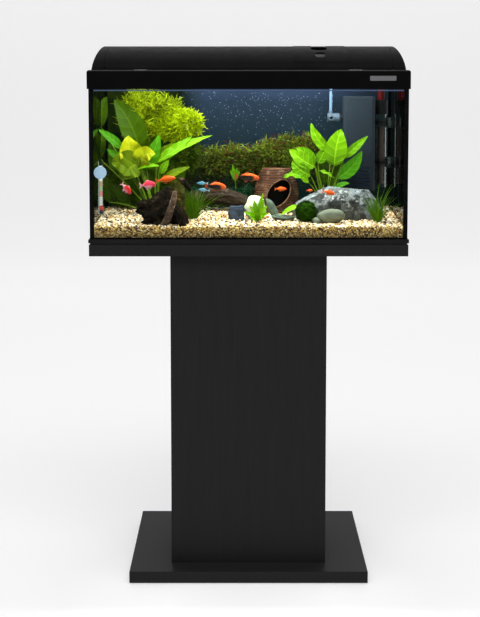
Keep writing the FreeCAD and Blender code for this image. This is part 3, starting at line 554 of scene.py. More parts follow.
def rolled(faces):
    """The same faces looking the other way, each starting at the same corner."""
    return [(face[0], *face[:0:-1]) for face in faces]


def taken(shape):
    """Points and faces of a bmesh, which is freed."""
    points = [vertex.co.copy() for vertex in shape.verts]
    faces = [tuple(vertex.index for vertex in face.verts) for face in shape.faces]
    shape.free()
    return points, faces


def ball(radius, cuts, roughness=0.0, seed=0.0, detail=2.0, squash=(1, 1, 1)):
    """Points and faces of a lumpy ball."""
    shape = bmesh.new()
    bmesh.ops.create_icosphere(shape, subdivisions=cuts, radius=1.0)
    shift = Vector((seed, seed * 1.7, -seed))
    for vertex in shape.verts:
        lump = 1.0 + roughness * noise.fractal(vertex.co * detail + shift, 0.7, 2.1, 4)
        vertex.co = [vertex.co[k] * lump * radius * squash[k] for k in range(3)]
    return taken(shape)


def course(route, t):
    """Point and heading at t on the smooth curve that the control points of route give."""
    def at(share):
        work = [Vector(point) for point in route]
        while len(work) > 1:
            work = [a.lerp(b, share) for a, b in zip(work, work[1:])]
        return work[0]
    return at(t), (at(min(1.0, t + 0.02)) - at(max(0.0, t - 0.02))).normalized()


def thrown(dice, spread, mean=(0, 0, 0)):
    return Vector([dice.gauss(mean[k], spread[k]) for k in range(3)])


# ---- gravel -------------------------------------------------------------------------------

BED_FRONT, BED_REAR = 0.024, 0.037


def bed_level(y):
    """Height of the gravel at a depth y, in metres."""
    low, high = corners("gravel_bed")
    return FLOOR + BED_FRONT + (y - low.y) / (high.y - low.y) * (BED_REAR - BED_FRONT)


def gravel():
    """Loose grains on top and against the glass, round a plain core."""
    dice = random.Random(54)
    low, high = corners("gravel_bed")
    grain_points, grain_faces = ball(1.0, 1)
    pale = grain_paint("gravel_grains", [
        (0.0, (0.72, 0.50, 0.20)), (0.15, (0.86, 0.70, 0.40)), (0.31, (0.95, 0.87, 0.62)),
        (0.47, (0.42, 0.21, 0.05)), (0.57, (0.50, 0.45, 0.30)), (0.65, (0.11, 0.055, 0.018)),
        (0.74, (0.010, 0.008, 0.006)), (0.84, (0.56, 0.36, 0.11)), (0.92, (0.95, 0.92, 0.80))])
    # Painted shade: the grains against the glass are a darker copy of the same gravel.
    darker = grain_paint("gravel_against_glass", [
        (0.0, (0.46, 0.25, 0.03)), (0.2, (0.66, 0.42, 0.07)), (0.38, (0.86, 0.64, 0.17)),
        (0.5, (0.14, 0.065, 0.010)), (0.64, (0.012, 0.008, 0.005)), (0.76, (0.34, 0.165, 0.02)),
        (0.86, (0.98, 0.84, 0.42))], (low.z, bed_level(low.y) - 0.006))
    rim, glass = 0.003, 0.0028

    def on_top():
        x = dice.uniform(low.x + rim, high.x - rim)
        y = low.y + rim + (high.y - low.y - 2 * rim) * dice.random() ** 1.25
        swell = 0.0022 * noise.noise(Vector((x * 22, y * 22, 0)))
        return Vector((x, y, bed_level(y) - 0.0018 + swell + dice.uniform(-0.0012, 0.0010)))

    def at_front():
        return Vector((dice.uniform(low.x + rim, high.x - rim), low.y + dice.uniform(0.0022, 0.0032),
                       dice.uniform(low.z + 0.002, bed_level(low.y) - 0.001)))

    def at_side():
        side = dice.choice((low.x + glass, high.x - glass))
        y = dice.uniform(low.y + 0.004, high.y - 0.004)
        return Vector((side, y, dice.uniform(low.z + 0.002, bed_level(y) - 0.002)))

    for name, count, spot, sizes, paint in (
            ("gravel_surface_grains", 8400, on_top, (0.0022, 0.0037), pale),
            ("gravel_at_front", 3400, at_front, (0.0017, 0.0027), darker),
            ("gravel_at_sides", 2600, at_side, (0.0019, 0.0028), darker)):
        heap = Heap()
        for _ in range(count):
            place = spot()
            size = dice.uniform(*sizes)
            turn = Matrix.Rotation(dice.uniform(0, 6.28), 3, "Z")
            turn @= Matrix.Rotation(dice.uniform(0, 3.14), 3, "X")
            axes = [size * dice.uniform(*share) for share in ((0.8, 1.35), (0.7, 1.0), (0.6, 0.9))]
            heap.add([place + turn @ Vector([p[k] * axes[k] * dice.uniform(0.9, 1.1) for k in range(3)])
                      for p in grain_points], grain_faces)
        heap.piece(name, paint, "gravel", "gravel_bed")

    columns, rows, inset, depth = 80, 40, 0.0045, 0.0042
    points = []
    for row in range(rows + 1):
        y = low.y + inset + (high.y - low.y - 2 * inset) * row / rows
        for column in range(columns + 1):
            x = low.x + inset + (high.x - low.x - 2 * inset) * column / columns
            swell = 0.001 * noise.noise(Vector((x * 90, y * 90, 3)))
            points.append(Vector((x, y, bed_level(y) - depth + swell)))
    top, line = len(points), columns + 1
    edge = list(range(line)) + [(row + 1) * line + columns for row in range(rows)]
    edge += [rows * line + columns - 1 - column for column in range(columns)]
    edge += [(rows - 1 - row) * line for row in range(rows - 1)]
    points += [Vector((points[index].x, points[index].y, low.z)) for index in edge]
    faces = grid(rows, columns)
    for at, index in enumerate(edge):
        after = (at + 1) % len(edge)
        faces.append((edge[after], index, top + at, top + after))
    faces.append(tuple(range(top, top + len(edge))))
    # Painted shade: the core under the grains is dark brown, so the gaps between grains read as shade.
    gap_shade_core = stone_paint("gravel_core", (0.05, 0.032, 0.016), (0.16, 0.105, 0.05), (0.3, 0.22, 0.12), 300.0)
    piece("gravel_core", points, faces, gap_shade_core, "gravel", "gravel_bed")


# ---- plants -------------------------------------------------------------------------------

def leaf(heap, route, width, dice, face=(0, -1, 0), fold=0.22, wave=0.0, blunt=0.75, steps=18, cells=6):
    """A leaf blade along a route; face is roughly where its upper side looks."""
    face = Vector(face).normalized()
    phase = dice.uniform(0, 6.28)
    points, uvs = [], []
    for step in range(steps + 1):
        t = step / steps
        here, ahead = course(route, t)
        side = ahead.cross(face)
        if side.length < 0.05:
            side = ahead.cross(Vector((1, 0, 0)))
        side.normalize()
        up = side.cross(ahead).normalized()
        half = width * 0.004
        if step < steps:
            half = 0.5 * width * math.sin(math.pi * t ** blunt) ** 0.8 + width * 0.015
        for cell in range(cells + 1):
            across = 2 * cell / cells - 1
            ripple = wave * width * abs(across) ** 1.5 * math.sin(t * 17 + phase + (2.2 if across > 0 else 0))
            lift = fold * half * (abs(across) ** 1.3) + ripple
            points.append(here + side * (across * half) + up * lift)
            uvs.append(((across + 1) / 2, t))
    heap.add(points, grid(steps, cells), uvs)


def limb(route, radii, rings, sides, hint, rough=0.0, seed=0.0, flat=(1, 1)):
    """Points of a round limb along a route, thick as radii say in turn, with furrows if it is rough."""
    points = []
    for ring in range(rings + 1):
        t = ring / rings
        here, ahead = course(route, t)
        side = ahead.cross(Vector(hint)).normalized()
        up = side.cross(ahead)
        place = t * (len(radii) - 1)
        k = min(int(place), len(radii) - 2)
        radius = radii[k] + (radii[k + 1] - radii[k]) * (place - k)
        for s in range(sides):
            angle = FULL_TURN * s / sides
            a, b = math.cos(angle), math.sin(angle)
            furrow = noise.fractal(Vector((a * 2.2, b * 2.2, t * 3.5 + seed)), 0.8, 2.2, 5) if rough else 0.0
            reach = radius * (1 + rough * furrow)
            points.append(here + side * a * reach * flat[0] + up * b * reach * flat[1])
    return points


def stalk(heap, route, radii):
    sides, steps = 6, 10
    points = limb(route, radii, steps, sides, (0.3, 1, 0.1))
    heap.add(points, wall(steps, sides) + ends(steps, sides), [(0.5, 0.2)] * len(points))


def sword_plant(name, node, leaves, paints):
    """Leaves on stalks from one crown, each with its start, bend and tip in mm from the crown."""
    centre = middle(node)
    crown = Vector((centre.x, centre.y, bed_level(centre.y) - 0.004))
    dice = random.Random(name)
    heaps = {}
    for start, bend, tip, width, paint, *form in leaves:
        heap = heaps.setdefault(paint, Heap())
        start, bend, tip = (crown + Vector(point) * MM for point in (start, bend, tip))
        leaf(heap, (start, bend, tip), width * MM, dice, *form)
        low_bend = crown.lerp(start, 0.55) + Vector((dice.uniform(-4, 4), dice.uniform(-4, 4), 12)) * MM
        root = crown + Vector((dice.uniform(-6, 6), dice.uniform(-6, 6), 0)) * MM
        stalk(heaps.setdefault("stalk", Heap()), (root, low_bend, start), (0.0017, 0.0009))
    for paint, heap in heaps.items():
        heap.piece("%s_%s" % (name, paint), paints[paint], "leaf", node, True)


def weed(heap, centre, radii, count, dice, size, spread):
    """A mass of fine forked twigs that fills an ellipsoid; radii and size are in mm."""
    for _ in range(count):
        while True:
            spot = Vector([dice.uniform(-1, 1) for _ in range(3)])
            if 0.35 < spot.length < 1:
                break
        place = centre + Vector([spot[k] * radii[k] * MM for k in range(3)])
        out = Vector([spot[k] / radii[k] for k in range(3)]).normalized()
        heading = (out + thrown(dice, (spread,) * 3, (0, 0, 0.25))).normalized()
        length = dice.uniform(*size) * MM
        for _ in range(2):
            twist = thrown(dice, (1, 1, 0.6)) * length * 0.28
            elbow = place + heading * length * 0.5 + twist
            end = place + heading * length + twist * 0.3
            side = heading.cross(thrown(dice, (1, 1, 1))).normalized() * dice.uniform(0.00045, 0.0010)
            heap.add([place - side, place + side, elbow + side, elbow - side, end], [(0, 1, 2, 3), (3, 2, 4)])
            place = elbow
            heading = (heading + thrown(dice, (0.6, 0.6, 0.5), (0, 0, 0.2))).normalized()


def grass(heap, root, count, height, reach, dice, lean=0.0):
    """A tuft of thin curved blades."""
    for _ in range(count):
        angle = dice.uniform(0, FULL_TURN)
        out = Vector((math.cos(angle), math.sin(angle) * 0.8, 0))
        tall = height * dice.uniform(0.45, 1.0)
        far = reach * dice.uniform(0.15, 1.0)
        start = root + out * dice.uniform(0, 0.007)
        bend = start + out * far * 0.3 + Vector((0, 0, tall * 0.6))
        tip = start + out * far + Vector((lean, 0, tall))
        leaf(heap, (start, bend, tip), dice.uniform(0.0011, 0.0022), dice, (out.x, out.y - 0.6, 0.4), 0.1, 0.0,
             0.5, 7, 2)


def sword_plants():
    paints = {
        "stalk": twig_paint("leaf_stalk", (0.035, 0.08, 0.005), (0.12, 0.20, 0.012)),
        "lime": leaf_paint("leaf_lime", (0.042, 0.14, 0.0008), (0.115, 0.27, 0.0015), (0.19, 0.36, 0.008)),
        "green": leaf_paint("leaf_green", (0.016, 0.085, 0.001), (0.045, 0.17, 0.002), (0.07, 0.21, 0.008)),
        "yellow": leaf_paint("leaf_yellow", (0.11, 0.16, 0.001), (0.26, 0.27, 0.002), (0.24, 0.29, 0.01)),
        "olive": leaf_paint("leaf_olive", (0.028, 0.062, 0.0005), (0.095, 0.145, 0.001), (0.12, 0.18, 0.004)),
        "rear": leaf_paint("leaf_rear", (0.012, 0.032, 0.0002), (0.031, 0.066, 0.0003), (0.04, 0.08, 0.001)),
        "deep": leaf_paint("leaf_deep", (0.010, 0.030, 0.001), (0.032, 0.070, 0.002), (0.045, 0.085, 0.005)),
    }
    front = (0, -1, 0.25)
    # start, bend, tip, width, paint, where the upper side looks, fold, wave
    sword_plant("sword_left", "sword_plant_left", [
        ((-28, -6, 98), (-52, -14, 128), (-52, -6, 164), 50, "yellow", (0.2, -1, 0.1), 0.3, 0.06),
        ((-28, -10, 100), (-26, -22, 136), (2, -16, 128), 38, "yellow", (0.1, -1, 0.4), 0.22, 0.07),
        ((-30, -12, 98), (-58, -26, 118), (-84, -20, 110), 50, "olive", (-0.1, -1, 0.25), 0.22, 0.06),
        ((-34, -14, 108), (-50, -26, 104), (-66, -24, 78), 46, "olive", (-0.1, -1, 0.1), 0.22, 0.06),
        ((-22, 10, 92), (-34, 4, 104), (-50, 6, 86), 30, "green", (-0.1, -1, 0.2), 0.22, 0.05),
        ((-62, -2, 136), (-84, -8, 160), (-112, -12, 177), 18, "green", (-0.3, -0.8, 0.7), 0.15),
        ((-64, -4, 120), (-78, -8, 124), (-94, -10, 138), 15, "green", (-0.2, -0.9, 0.5)),
        ((-26, 4, 98), (-2, -2, 120), (9, 2, 166), 30, "green", front, 0.16),
        ((-18, 14, 100), (20, 10, 120), (38, 12, 150), 34, "olive", front, 0.16),
        ((4, -4, 110), (46, -8, 146), (114, 2, 164), 19, "lime", (0.1, -0.8, 0.75), 0.22, 0.05),
        ((6, -2, 114), (36, -6, 132), (74, 0, 163), 21, "lime", (-0.1, -0.9, 0.5), 0.22, 0.05),
        ((10, -14, 104), (-8, -22, 110), (-36, -18, 97), 13, "lime", (0, -0.5, 1), 0.1),
        ((10, -2, 72), (34, -8, 90), (70, -4, 102), 20, "olive", (0.1, -0.7, 0.8)),
        ((12, -6, 88), (18, -10, 104), (28, -8, 116), 15, "lime", front),
        ((-44, 30, 60), (-60, 26, 96), (-74, 24, 120), 26, "deep", front),
        ((30, 34, 40), (44, 26, 70), (60, 26, 100), 22, "deep", front),
        ((-10, 36, 40), (4, 30, 90), (14, 34, 130), 26, "deep", front),
        ((-50, 20, 20), (-70, 14, 50), (-92, 12, 70), 20, "deep", front),
        ((-20, 20, 10), (-30, 10, 50), (-48, 12, 84), 22, "deep", front),
        ((-110, 30, 180), (-112, 30, 214), (-97, 34, 240), 26, "rear", front),
        ((-112, 20, 116), (-111, 20, 146), (-100, 24, 172), 20, "rear", front),
        ((-92, 14, 30), (-100, 12, 52), (-106, 10, 88), 16, "rear", front),
    ], paints)
    sword_plant("sword_right", "sword_plant_right", [
        ((18, -8, 100), (18, -22, 140), (31, -14, 174), 44, "lime", (0.05, -1, 0.2), 0.14, 0.02),
        ((11, -4, 128), (-22, -10, 152), (-29, -8, 186), 21, "lime", (-0.4, -0.9, 0.2), 0.22, 0.08),
        ((38, -2, 116), (58, -8, 136), (85, -6, 160), 17, "lime", (0.3, -0.9, 0.5), 0.22, 0.03),
        ((25, -2, 76), (56, -10, 92), (73, -6, 130), 28, "green", (0.2, -1, 0.3), 0.2),
        ((25, 4, 74), (54, 0, 88), (70, 2, 112), 20, "green", (0.2, -0.6, 0.7)),
        ((-21, -6, 98), (-50, -16, 112), (-73, -10, 134), 28, "lime", (-0.2, -1, 0.4), 0.22, 0.03),
        ((-21, -2, 103), (-36, -6, 126), (-59, -4, 136), 24, "lime", (-0.3, -0.9, 0.5)),
        ((-30, -10, 81), (-56, -20, 92), (-67, -14, 110), 27, "lime", (-0.2, -1, 0.3), 0.22, 0.05),
        ((-32, -14, 65), (-60, -24, 96), (-84, -18, 76), 20, "lime", (-0.1, -0.7, 0.8), 0.22, 0.12),
        ((-15, 0, 105), (-4, -8, 122), (0, -4, 138), 22, "lime", front),
        ((-15, -16, 91), (4, -24, 88), (17, -20, 76), 10, "lime", (0, -0.5, 1), 0.22, 0.15),
        ((14, -6, 50), (34, -12, 66), (49, -10, 65), 14, "green", (0, -0.7, 0.8)),
        ((-2, 20, 60), (4, 16, 90), (-14, 20, 124), 24, "deep", front),
        ((10, 18, 50), (30, 14, 90), (36, 18, 118), 22, "deep", front),
    ], paints)
    return paints["rear"]


def thickets(rear_leaf):
    """The moss bush, the hedge and carpet along the rear pane, and the tall leaves before them."""
    dice = random.Random(7)
    bush = middle("moss_bush")
    deep = (corners("moss_bush")[1].y - bush.y) / MM
    low, high = corners("rear_plants")
    back = high.y / MM - 10
    hedge = [((x, back, z), (wide, 9, tall), count, (6, 14), 0.6) for x, z, wide, tall, count in (
        (-70, 92, 26, 34, 800), (-30, 98, 28, 30, 900), (10, 92, 28, 30, 800), (44, 108, 30, 32, 1100),
        (86, 116, 34, 34, 1300), (124, 108, 28, 44, 1000), (150, 84, 24, 54, 500), (-112, 64, 36, 42, 600),
        (20, 56, 90, 34, 1000))]
    carpet = [((x, back - 12, z), (wide, 12, tall), count, (6, 14), 0.5) for x, z, wide, tall, count in (
        (-80, 16, 60, 26, 900), (-5, 14, 30, 26, 600), (-150, 20, 40, 30, 500))]
    foot = Vector((0, 0, low.z))
    # name, node, origin, paint, clumps: place, radii, number of twigs, their length, spread
    for name, node, origin, paint, clumps in (
            ("moss_bush_twigs", "moss_bush", bush, twig_paint("bright_weed", (0.040, 0.07, 0.0004),
                                                              (0.34, 0.46, 0.002)),
             [((19, -4, -24), (50, deep * 0.85, 30), 6500, (5, 11), 0.5)]),
            ("moss_bush_back", "moss_bush", bush, twig_paint("olive_branches", (0.03, 0.05, 0.0005),
                                                             (0.24, 0.32, 0.002)),
             [((-50, 4, -2), (44, deep * 0.6, 42), 1150, (10, 22), 0.9),
              ((-4, 4, 10), (30, deep * 0.6, 20), 450, (7, 15), 0.8)]),
            ("shaded_weed", "moss_bush", bush, twig_paint("shaded_weed", (0.008, 0.018, 0.001),
                                                          (0.045, 0.075, 0.003)),
             [((38, 0, -83), (28, deep * 0.5, 34), 1100, (6, 14), 0.7),
              ((-55, 0, -140), (78, deep * 0.4, 50), 2600, (8, 20), 0.8)]),
            # The hedge gets painted shade towards its foot.
            ("rear_hedge_twigs", "rear_plants", foot,
             twig_paint("olive_weed", (0.006, 0.014, 0.006), (0.18, 0.26, 0.014), (0.065, 0.018, 0.008),
                        (low.z + 0.055, low.z + 0.135)), hedge),
            ("teal_carpet_twigs", "rear_plants", foot,
             twig_paint("teal_weed", (0.004, 0.022, 0.010), (0.025, 0.085, 0.035)), carpet)):
        heap = Heap()
        for place, radii, count, size, spread in clumps:
            weed(heap, origin + Vector(place) * MM, radii, count, dice, size, spread)
        heap.piece(name, paint, "moss", node, True)

    tall = Heap()
    column = Vector((low.x + 0.02, high.y - 0.028, low.z))
    for start, bend, tip, width, depth in (((42, 126), (34, 178), (-8, 226), 50, -40),
                                           ((40, 100), (66, 140), (82, 176), 40, 4),
                                           ((10, 60), (-8, 100), (-20, 136), 34, -8),
                                           ((60, 40), (76, 70), (96, 96), 30, -8)):
        start, bend, tip = (column + Vector((x, depth - nearer, z)) * MM
                            for (x, z), nearer in ((start, 0), (bend, 8), (tip, 0)))
        leaf(tall, (start, bend, tip), width * MM, dice, (0.15, -1, 0.1), 0.26, 0.03)
        stalk(tall, (column, column.lerp(start, 0.5) + Vector((0.003, 0, 0)), start), (0.002, 0.0012))
    tall.piece("tall_rear_leaves", rear_leaf, "leaf", "rear_plants")


def low_plants():
    """Grass tufts, the moss ball, the anubias and a small sprig behind."""
    dice = random.Random(21)
    tufts = Heap()
    left, right = (Vector((x, y, bed_level(y) - 0.002)) for x, y in ((-0.109, -0.040), (0.249, -0.086)))
    grass(tufts, left, 190, 0.068, 0.036, dice, -0.008)
    grass(tufts, left, 12, 0.060, 0.062, dice, 0.014)
    grass(tufts, right, 120, 0.056, 0.028, dice)
    grass(tufts, right, 14, 0.088, 0.045, dice, 0.012)
    blade = leaf_paint("grass_blade", (0.02, 0.085, 0.0005), (0.12, 0.28, 0.002), (0.12, 0.28, 0.01))
    tufts.piece("grass_blades", blade, "leaf", "low_plants", True)

    centre = in_tank(112, -80, 46)
    core_points, core_faces = ball(0.0195, 4, 0.12, 3.0, 3.0)
    moss = Heap()
    moss.add([centre + point for point in core_points], core_faces)
    for _ in range(5200):
        out = thrown(dice, (1, 1, 1)).normalized()
        start = centre + out * 0.0180
        end = start + out * dice.uniform(0.0025, 0.0052) + thrown(dice, (1, 1, 1)) * 0.0009
        side = out.cross(Vector((dice.gauss(0, 1), dice.gauss(0, 1), 0.3))).normalized() * 0.0005
        moss.add([start - side, start + side, end], [(0, 1, 2)])
    moss.piece("moss_ball_fuzz", twig_paint("ball_moss", (0.001, 0.008, 0.0002), (0.018, 0.062, 0.001)),
               "moss", "low_plants")

    sprig, shrink = Heap(), 0.92 * MM
    root = Vector((0.018, -0.072, bed_level(-0.072) - 0.001))
    for bend, tip, width in (((-10, -8, 18), (-30, -10, 20), 11), ((8, -8, 18), (24, -10, 17), 12),
                             ((2, -6, 30), (12, -4, 62), 10), ((-6, -10, 22), (-18, -12, 34), 12),
                             ((8, -10, 24), (20, -12, 34), 13), ((-4, -8, 26), (-8, -6, 46), 12),
                             ((6, -8, 30), (13, -6, 48), 12), ((0, -12, 14), (-4, -16, 22), 12),
                             ((4, -12, 10), (10, -16, 14), 12), ((-6, -12, 8), (-15, -15, 8), 11)):
        leaf(sprig, (root, root + Vector(bend) * shrink, root + Vector(tip) * shrink), width * 0.8 * MM, dice,
             (0, -0.9, 0.6), 0.2, 0.03, 1.0, 12, 4)
    side = Vector((0.098, -0.062, bed_level(-0.062) + 0.028))
    leaf(sprig, (side, side + Vector((-16, -6, -2)) * MM, side + Vector((-36, -4, -18)) * MM), 0.011, dice,
         (0, -0.8, 0.7), 0.15, 0.02)
    behind = Heap()
    foot = Vector((-0.026, 0.104, bed_level(0.104)))
    top = foot + Vector((0, 0, 56)) * MM
    for tip in ((-6, 0, 92), (4, -4, 86), (9, 2, 78), (-11, -2, 80), (2, 4, 72)):
        leaf(behind, (top, top + Vector((tip[0] * 0.3, 0, 14)) * MM, foot + Vector(tip) * MM), 0.0075, dice,
             (0, -1, 0.3), 0.2, 0.05, 1.0, 12, 4)
    stalk(behind, (foot, foot + Vector((0.002, 0, 0.03)), foot + Vector((0, 0, 0.060))), (0.0009, 0.0006))
    behind.piece("rear_sprig", leaf_paint("rear_sprig", (0.02, 0.07, 0.001), (0.06, 0.15, 0.003),
                                          (0.07, 0.16, 0.005)), "leaf", "low_plants")
    sprig.piece("anubias_leaves", leaf_paint("anubias_leaf", (0.07, 0.23, 0.002), (0.20, 0.46, 0.004),
                                             (0.26, 0.50, 0.015)), "leaf", "low_plants")


# ---- stones, wood, clay -------------------------------------------------------------------

def rock():
    """Granite boulder with flat broken faces."""
    low, high = corners("granite_rock")
    centre, half = (low + high) / 2, (high - low) / 2 / MM
    shape = bmesh.new()
    bmesh.ops.create_icosphere(shape, subdivisions=6, radius=1.0)
    # facing, distance from the middle in mm
    planes = [(Vector(facing).normalized(), distance) for facing, distance in (
        ((-0.40, -0.05, 0.92), 36.0), ((0.06, 0.0, 1.0), half.z), ((0.80, -0.10, 0.62), 66.0),
        ((0.05, -0.80, 0.60), 36.0), ((-0.25, -0.72, 0.65), 38.0), ((0.45, -0.85, 0.30), 46.0),
        ((-1.0, -0.15, 0.10), half.x), ((0.08, -1.0, 0.0), half.y), ((-0.45, -0.9, 0.0), 60.0),
        ((1.0, 0.1, 0.0), half.x), ((0.0, 1.0, 0.15), half.y), ((0.0, 0.0, -1.0), half.z),
        ((0.3, 0.6, 0.75), 42.0), ((-0.6, 0.7, 0.3), 64.0), ((0.75, 0.6, 0.1), 76.0))]
    for vertex in shape.verts:
        heading = Vector((vertex.co.x * 2.0, vertex.co.y, vertex.co.z * 0.9)).normalized()
        reach = min(distance / heading.dot(facing) for facing, distance in planes
                    if heading.dot(facing) > 0.05)
        spot = heading * reach
        rough = 2.2 * noise.fractal(spot * 0.05, 0.8, 2.2, 5) + 0.7 * noise.noise(spot * 0.35)
        vertex.co = centre + heading * (reach + rough - 1.0) * MM
    piece("granite_boulder", *taken(shape), granite_paint("granite"), "granite", "granite_rock")


def pebbles():
    """Loose river stones: a pale oval one, a white lump, a cut block and two green slivers."""
    pale = stone_paint("pale_pebble", (0.085, 0.105, 0.065), (0.19, 0.22, 0.145), (0.05, 0.06, 0.03), 30.0)
    white = stone_paint("white_stone", (0.42, 0.46, 0.26), (0.72, 0.74, 0.50), (0.22, 0.28, 0.10), 40.0)
    blue = stone_paint("slate_block", (0.006, 0.011, 0.019), (0.045, 0.075, 0.115), (0.002, 0.003, 0.005), 60.0)
    green = stone_paint("green_stone", (0.04, 0.065, 0.045), (0.12, 0.16, 0.11), (0.2, 0.25, 0.15), 50.0)
    # name, place in mm, half sizes, roughness, lean in degrees, paint, seed
    for name, place, size, rough, lean, paint, seed in (
            ("pale_pebble_stone", (159, -93, 38), (0.027, 0.012, 0.0145), 0.06, -4, pale, 5),
            ("flat_pebble_stone", (131, -97, 29), (0.009, 0.008, 0.007), 0.12, 30, pale, 31),
            ("white_lump_stone", (13, -44, 49), (0.020, 0.014, 0.026), 0.12, 0, white, 8),
            ("leaning_green_stone", (48, -40, 46), (0.008, 0.008, 0.024), 0.14, -28, green, 11),
            ("lying_green_stone", (68, -60, 33), (0.022, 0.009, 0.006), 0.16, 6, green, 17)):
        points, faces = ball(1.0, 4, rough, seed, 1.4, size)
        turn = Matrix.Rotation(math.radians(lean), 3, "Y")
        piece(name, [in_tank(*place) + turn @ point for point in points], faces, paint, "river_stone",
              "river_stones")
    shape = bmesh.new()
    bmesh.ops.create_cube(shape, size=1.0)
    bmesh.ops.bevel(shape, geom=shape.edges[:], offset=0.10, segments=2, affect="EDGES")
    bmesh.ops.subdivide_edges(shape, edges=shape.edges[:], cuts=4, use_grid_fill=True)
    block = (0.031, 0.025, 0.031)
    for vertex in shape.verts:
        bumpy = vertex.co * (1 + 0.13 * noise.fractal(vertex.co * 3, 0.8, 2, 4))
        vertex.co = in_tank(-23, -49, 38.5) + Vector([bumpy[k] * block[k] for k in range(3)])
    piece("cut_blue_stone", *taken(shape), blue, "river_stone", "river_stones", smooth=False)


def wood():
    """The stump with its shoulder, foot and roots, a mossy limb behind it, and the arched log."""
    dark = bark_paint("dark_wood", (0.0022, 0.0018, 0.001), (0.013, 0.009, 0.004), (0.055, 0.038, 0.018))
    pale = bark_paint("root_wood", (0.026, 0.016, 0.010), (0.16, 0.105, 0.065), (0.40, 0.31, 0.22))
    brown = bark_paint("log_wood", (0.008, 0.006, 0.004), (0.050, 0.036, 0.022), (0.15, 0.11, 0.065))
    mossy = bark_paint("mossy_bark", (0.012, 0.014, 0.002), (0.05, 0.05, 0.005), (0.16, 0.07, 0.02))
    # name, route in mm, radii, roughness, seed, paint, flatness, rings and sides
    fine = ((1, 1), 40, 36)
    for name, route, radii, rough, seed, paint, (flat, rings, sides) in (
            ("stump_mass", ((-172, -96, 18), (-170, -98, 52), (-152, -98, 96)), (0.036, 0.033, 0.022, 0.005),
             0.55, 1.0, dark, ((1.05, 0.80), 40, 36)),
            ("stump_shoulder", ((-214, -98, 60), (-190, -98, 66), (-158, -98, 50)), (0.004, 0.011, 0.020),
             0.45, 5.0, dark, fine),
            ("stump_foot", ((-160, -100, 50), (-132, -100, 40), (-122, -102, 22)), (0.020, 0.018, 0.008),
             0.4, 8.0, dark, fine),
            ("stump_root", ((-141, -122, 88), (-140, -138, 62), (-165, -137, 18)),
             (0.0045, 0.0060, 0.0066, 0.0045), 0.40, 3.0, pale, fine),
            ("stump_root_right", ((-144, -120, 66), (-132, -134, 52), (-124, -134, 20)), (0.004, 0.008, 0.006),
             0.45, 41.0, dark, fine),
            ("bark_limb", ((-136, -62, 34), (-134, -60, 70), (-139, -58, 104)), (0.010, 0.013, 0.013, 0.009),
             0.25, 12.0, mossy, fine),
            ("bark_limb_end", ((-134, -58, 102), (-126, -56, 108), (-112, -54, 84)), (0.009, 0.006, 0.003),
             0.30, 14.0, dark, fine),
            ("arched_log", ((-142, 74, 40), (-100, 76, 76), (-24, 76, 74), (14, 76, 28)),
             (0.012, 0.0155, 0.0165, 0.015, 0.010), 0.34, 20.0, brown, ((1, 1), 70, 40))):
        route = [in_tank(*point) for point in route]
        points = limb(route, radii, rings, sides, (0, 1, 0.05), rough, seed, flat)
        faces = rolled(wall(rings, sides)) + ends(rings, sides)
        piece(name, points, faces, paint, "driftwood", "driftwood")


def barrel():
    """Clay barrel with turned grooves, a leaning oval mouth and a raised lip around it."""
    low, high = corners("clay_barrel")
    foot, tall = Vector(((low.x + high.x) / 2, (low.y + high.y) / 2, low.z)), high.z - low.z
    rings, sides, thick = 150, 144, 0.0045
    mouth, semi, lean = Vector((0.004, 0, 0.042)), (0.0300, 0.0205), math.radians(55)

    def radius(z):
        belly, widest = 0.38, 0.0455
        share = z / tall
        return (widest - 0.0155 * max(0.0, (share - belly) / (1 - belly)) ** 1.7
                - 0.004 * max(0.0, (belly - share) / belly) ** 2)

    def in_mouth(x, z):
        x, z = x - mouth.x, z - mouth.z
        a, b = x * math.cos(lean) + z * math.sin(lean), z * math.cos(lean) - x * math.sin(lean)
        return (a / semi[0]) ** 2 + (b / semi[1]) ** 2 < 1

    shade = stone_paint("barrel_shade", (0.004, 0.011, 0.011), (0.009, 0.022, 0.022), (0.01, 0.02, 0.018))
    for name, inset, groove, end, paint in (("wall", 0.0, 0.0007, rings, clay_paint("fired_clay")),
                                            ("inside", thick, 0.0, 0, shade)):
        points = []
        for ring in range(rings + 1):
            z = tall * ring / rings
            reach = radius(z) + groove * math.cos(z * GROOVES) - inset
            for s in range(sides):
                angle = FULL_TURN * s / sides
                points.append(foot + Vector((math.cos(angle) * reach, math.sin(angle) * reach, z)))
        faces = []
        for quad in wall(rings, sides):
            centre = sum((points[k] for k in quad), Vector()) / 4 - foot
            if centre.y >= 0 or not in_mouth(centre.x, centre.z):
                faces.append(quad)
        if inset:
            faces = flipped(faces)
        faces.append(tuple(range(end * sides, (end + 1) * sides)))
        piece("clay_barrel_" + name, points, faces, paint, "clay", "clay_barrel")

    points, faces = [], []
    around, section, bead = 72, 8, 0.0011
    for k in range(around):
        angle = FULL_TURN * k / around
        a, b = math.cos(angle) * semi[0], math.sin(angle) * semi[1]
        x = mouth.x + a * math.cos(lean) - b * math.sin(lean)
        z = mouth.z + a * math.sin(lean) + b * math.cos(lean)
        y = -math.sqrt(max(0.0, radius(z) ** 2 - x ** 2)) + 0.001
        out = Vector((x, y, 0)).normalized()
        rim = Vector((x - mouth.x, 0, z - mouth.z)).normalized()
        for s in range(section):
            turn = FULL_TURN * s / section
            points.append(foot + Vector((x, y, z)) + (out * math.cos(turn) + rim * math.sin(turn)) * bead)
            here, after = k * section, (k + 1) % around * section
            faces.append((here + s, here + (s + 1) % section, after + (s + 1) % section, after + s))
    lip = stone_paint("clay_lip", (0.08, 0.035, 0.015), (0.22, 0.12, 0.06), (0.2, 0.1, 0.05), 90.0)
    piece("clay_barrel_lip", points, faces, lip, "clay", "clay_barrel")


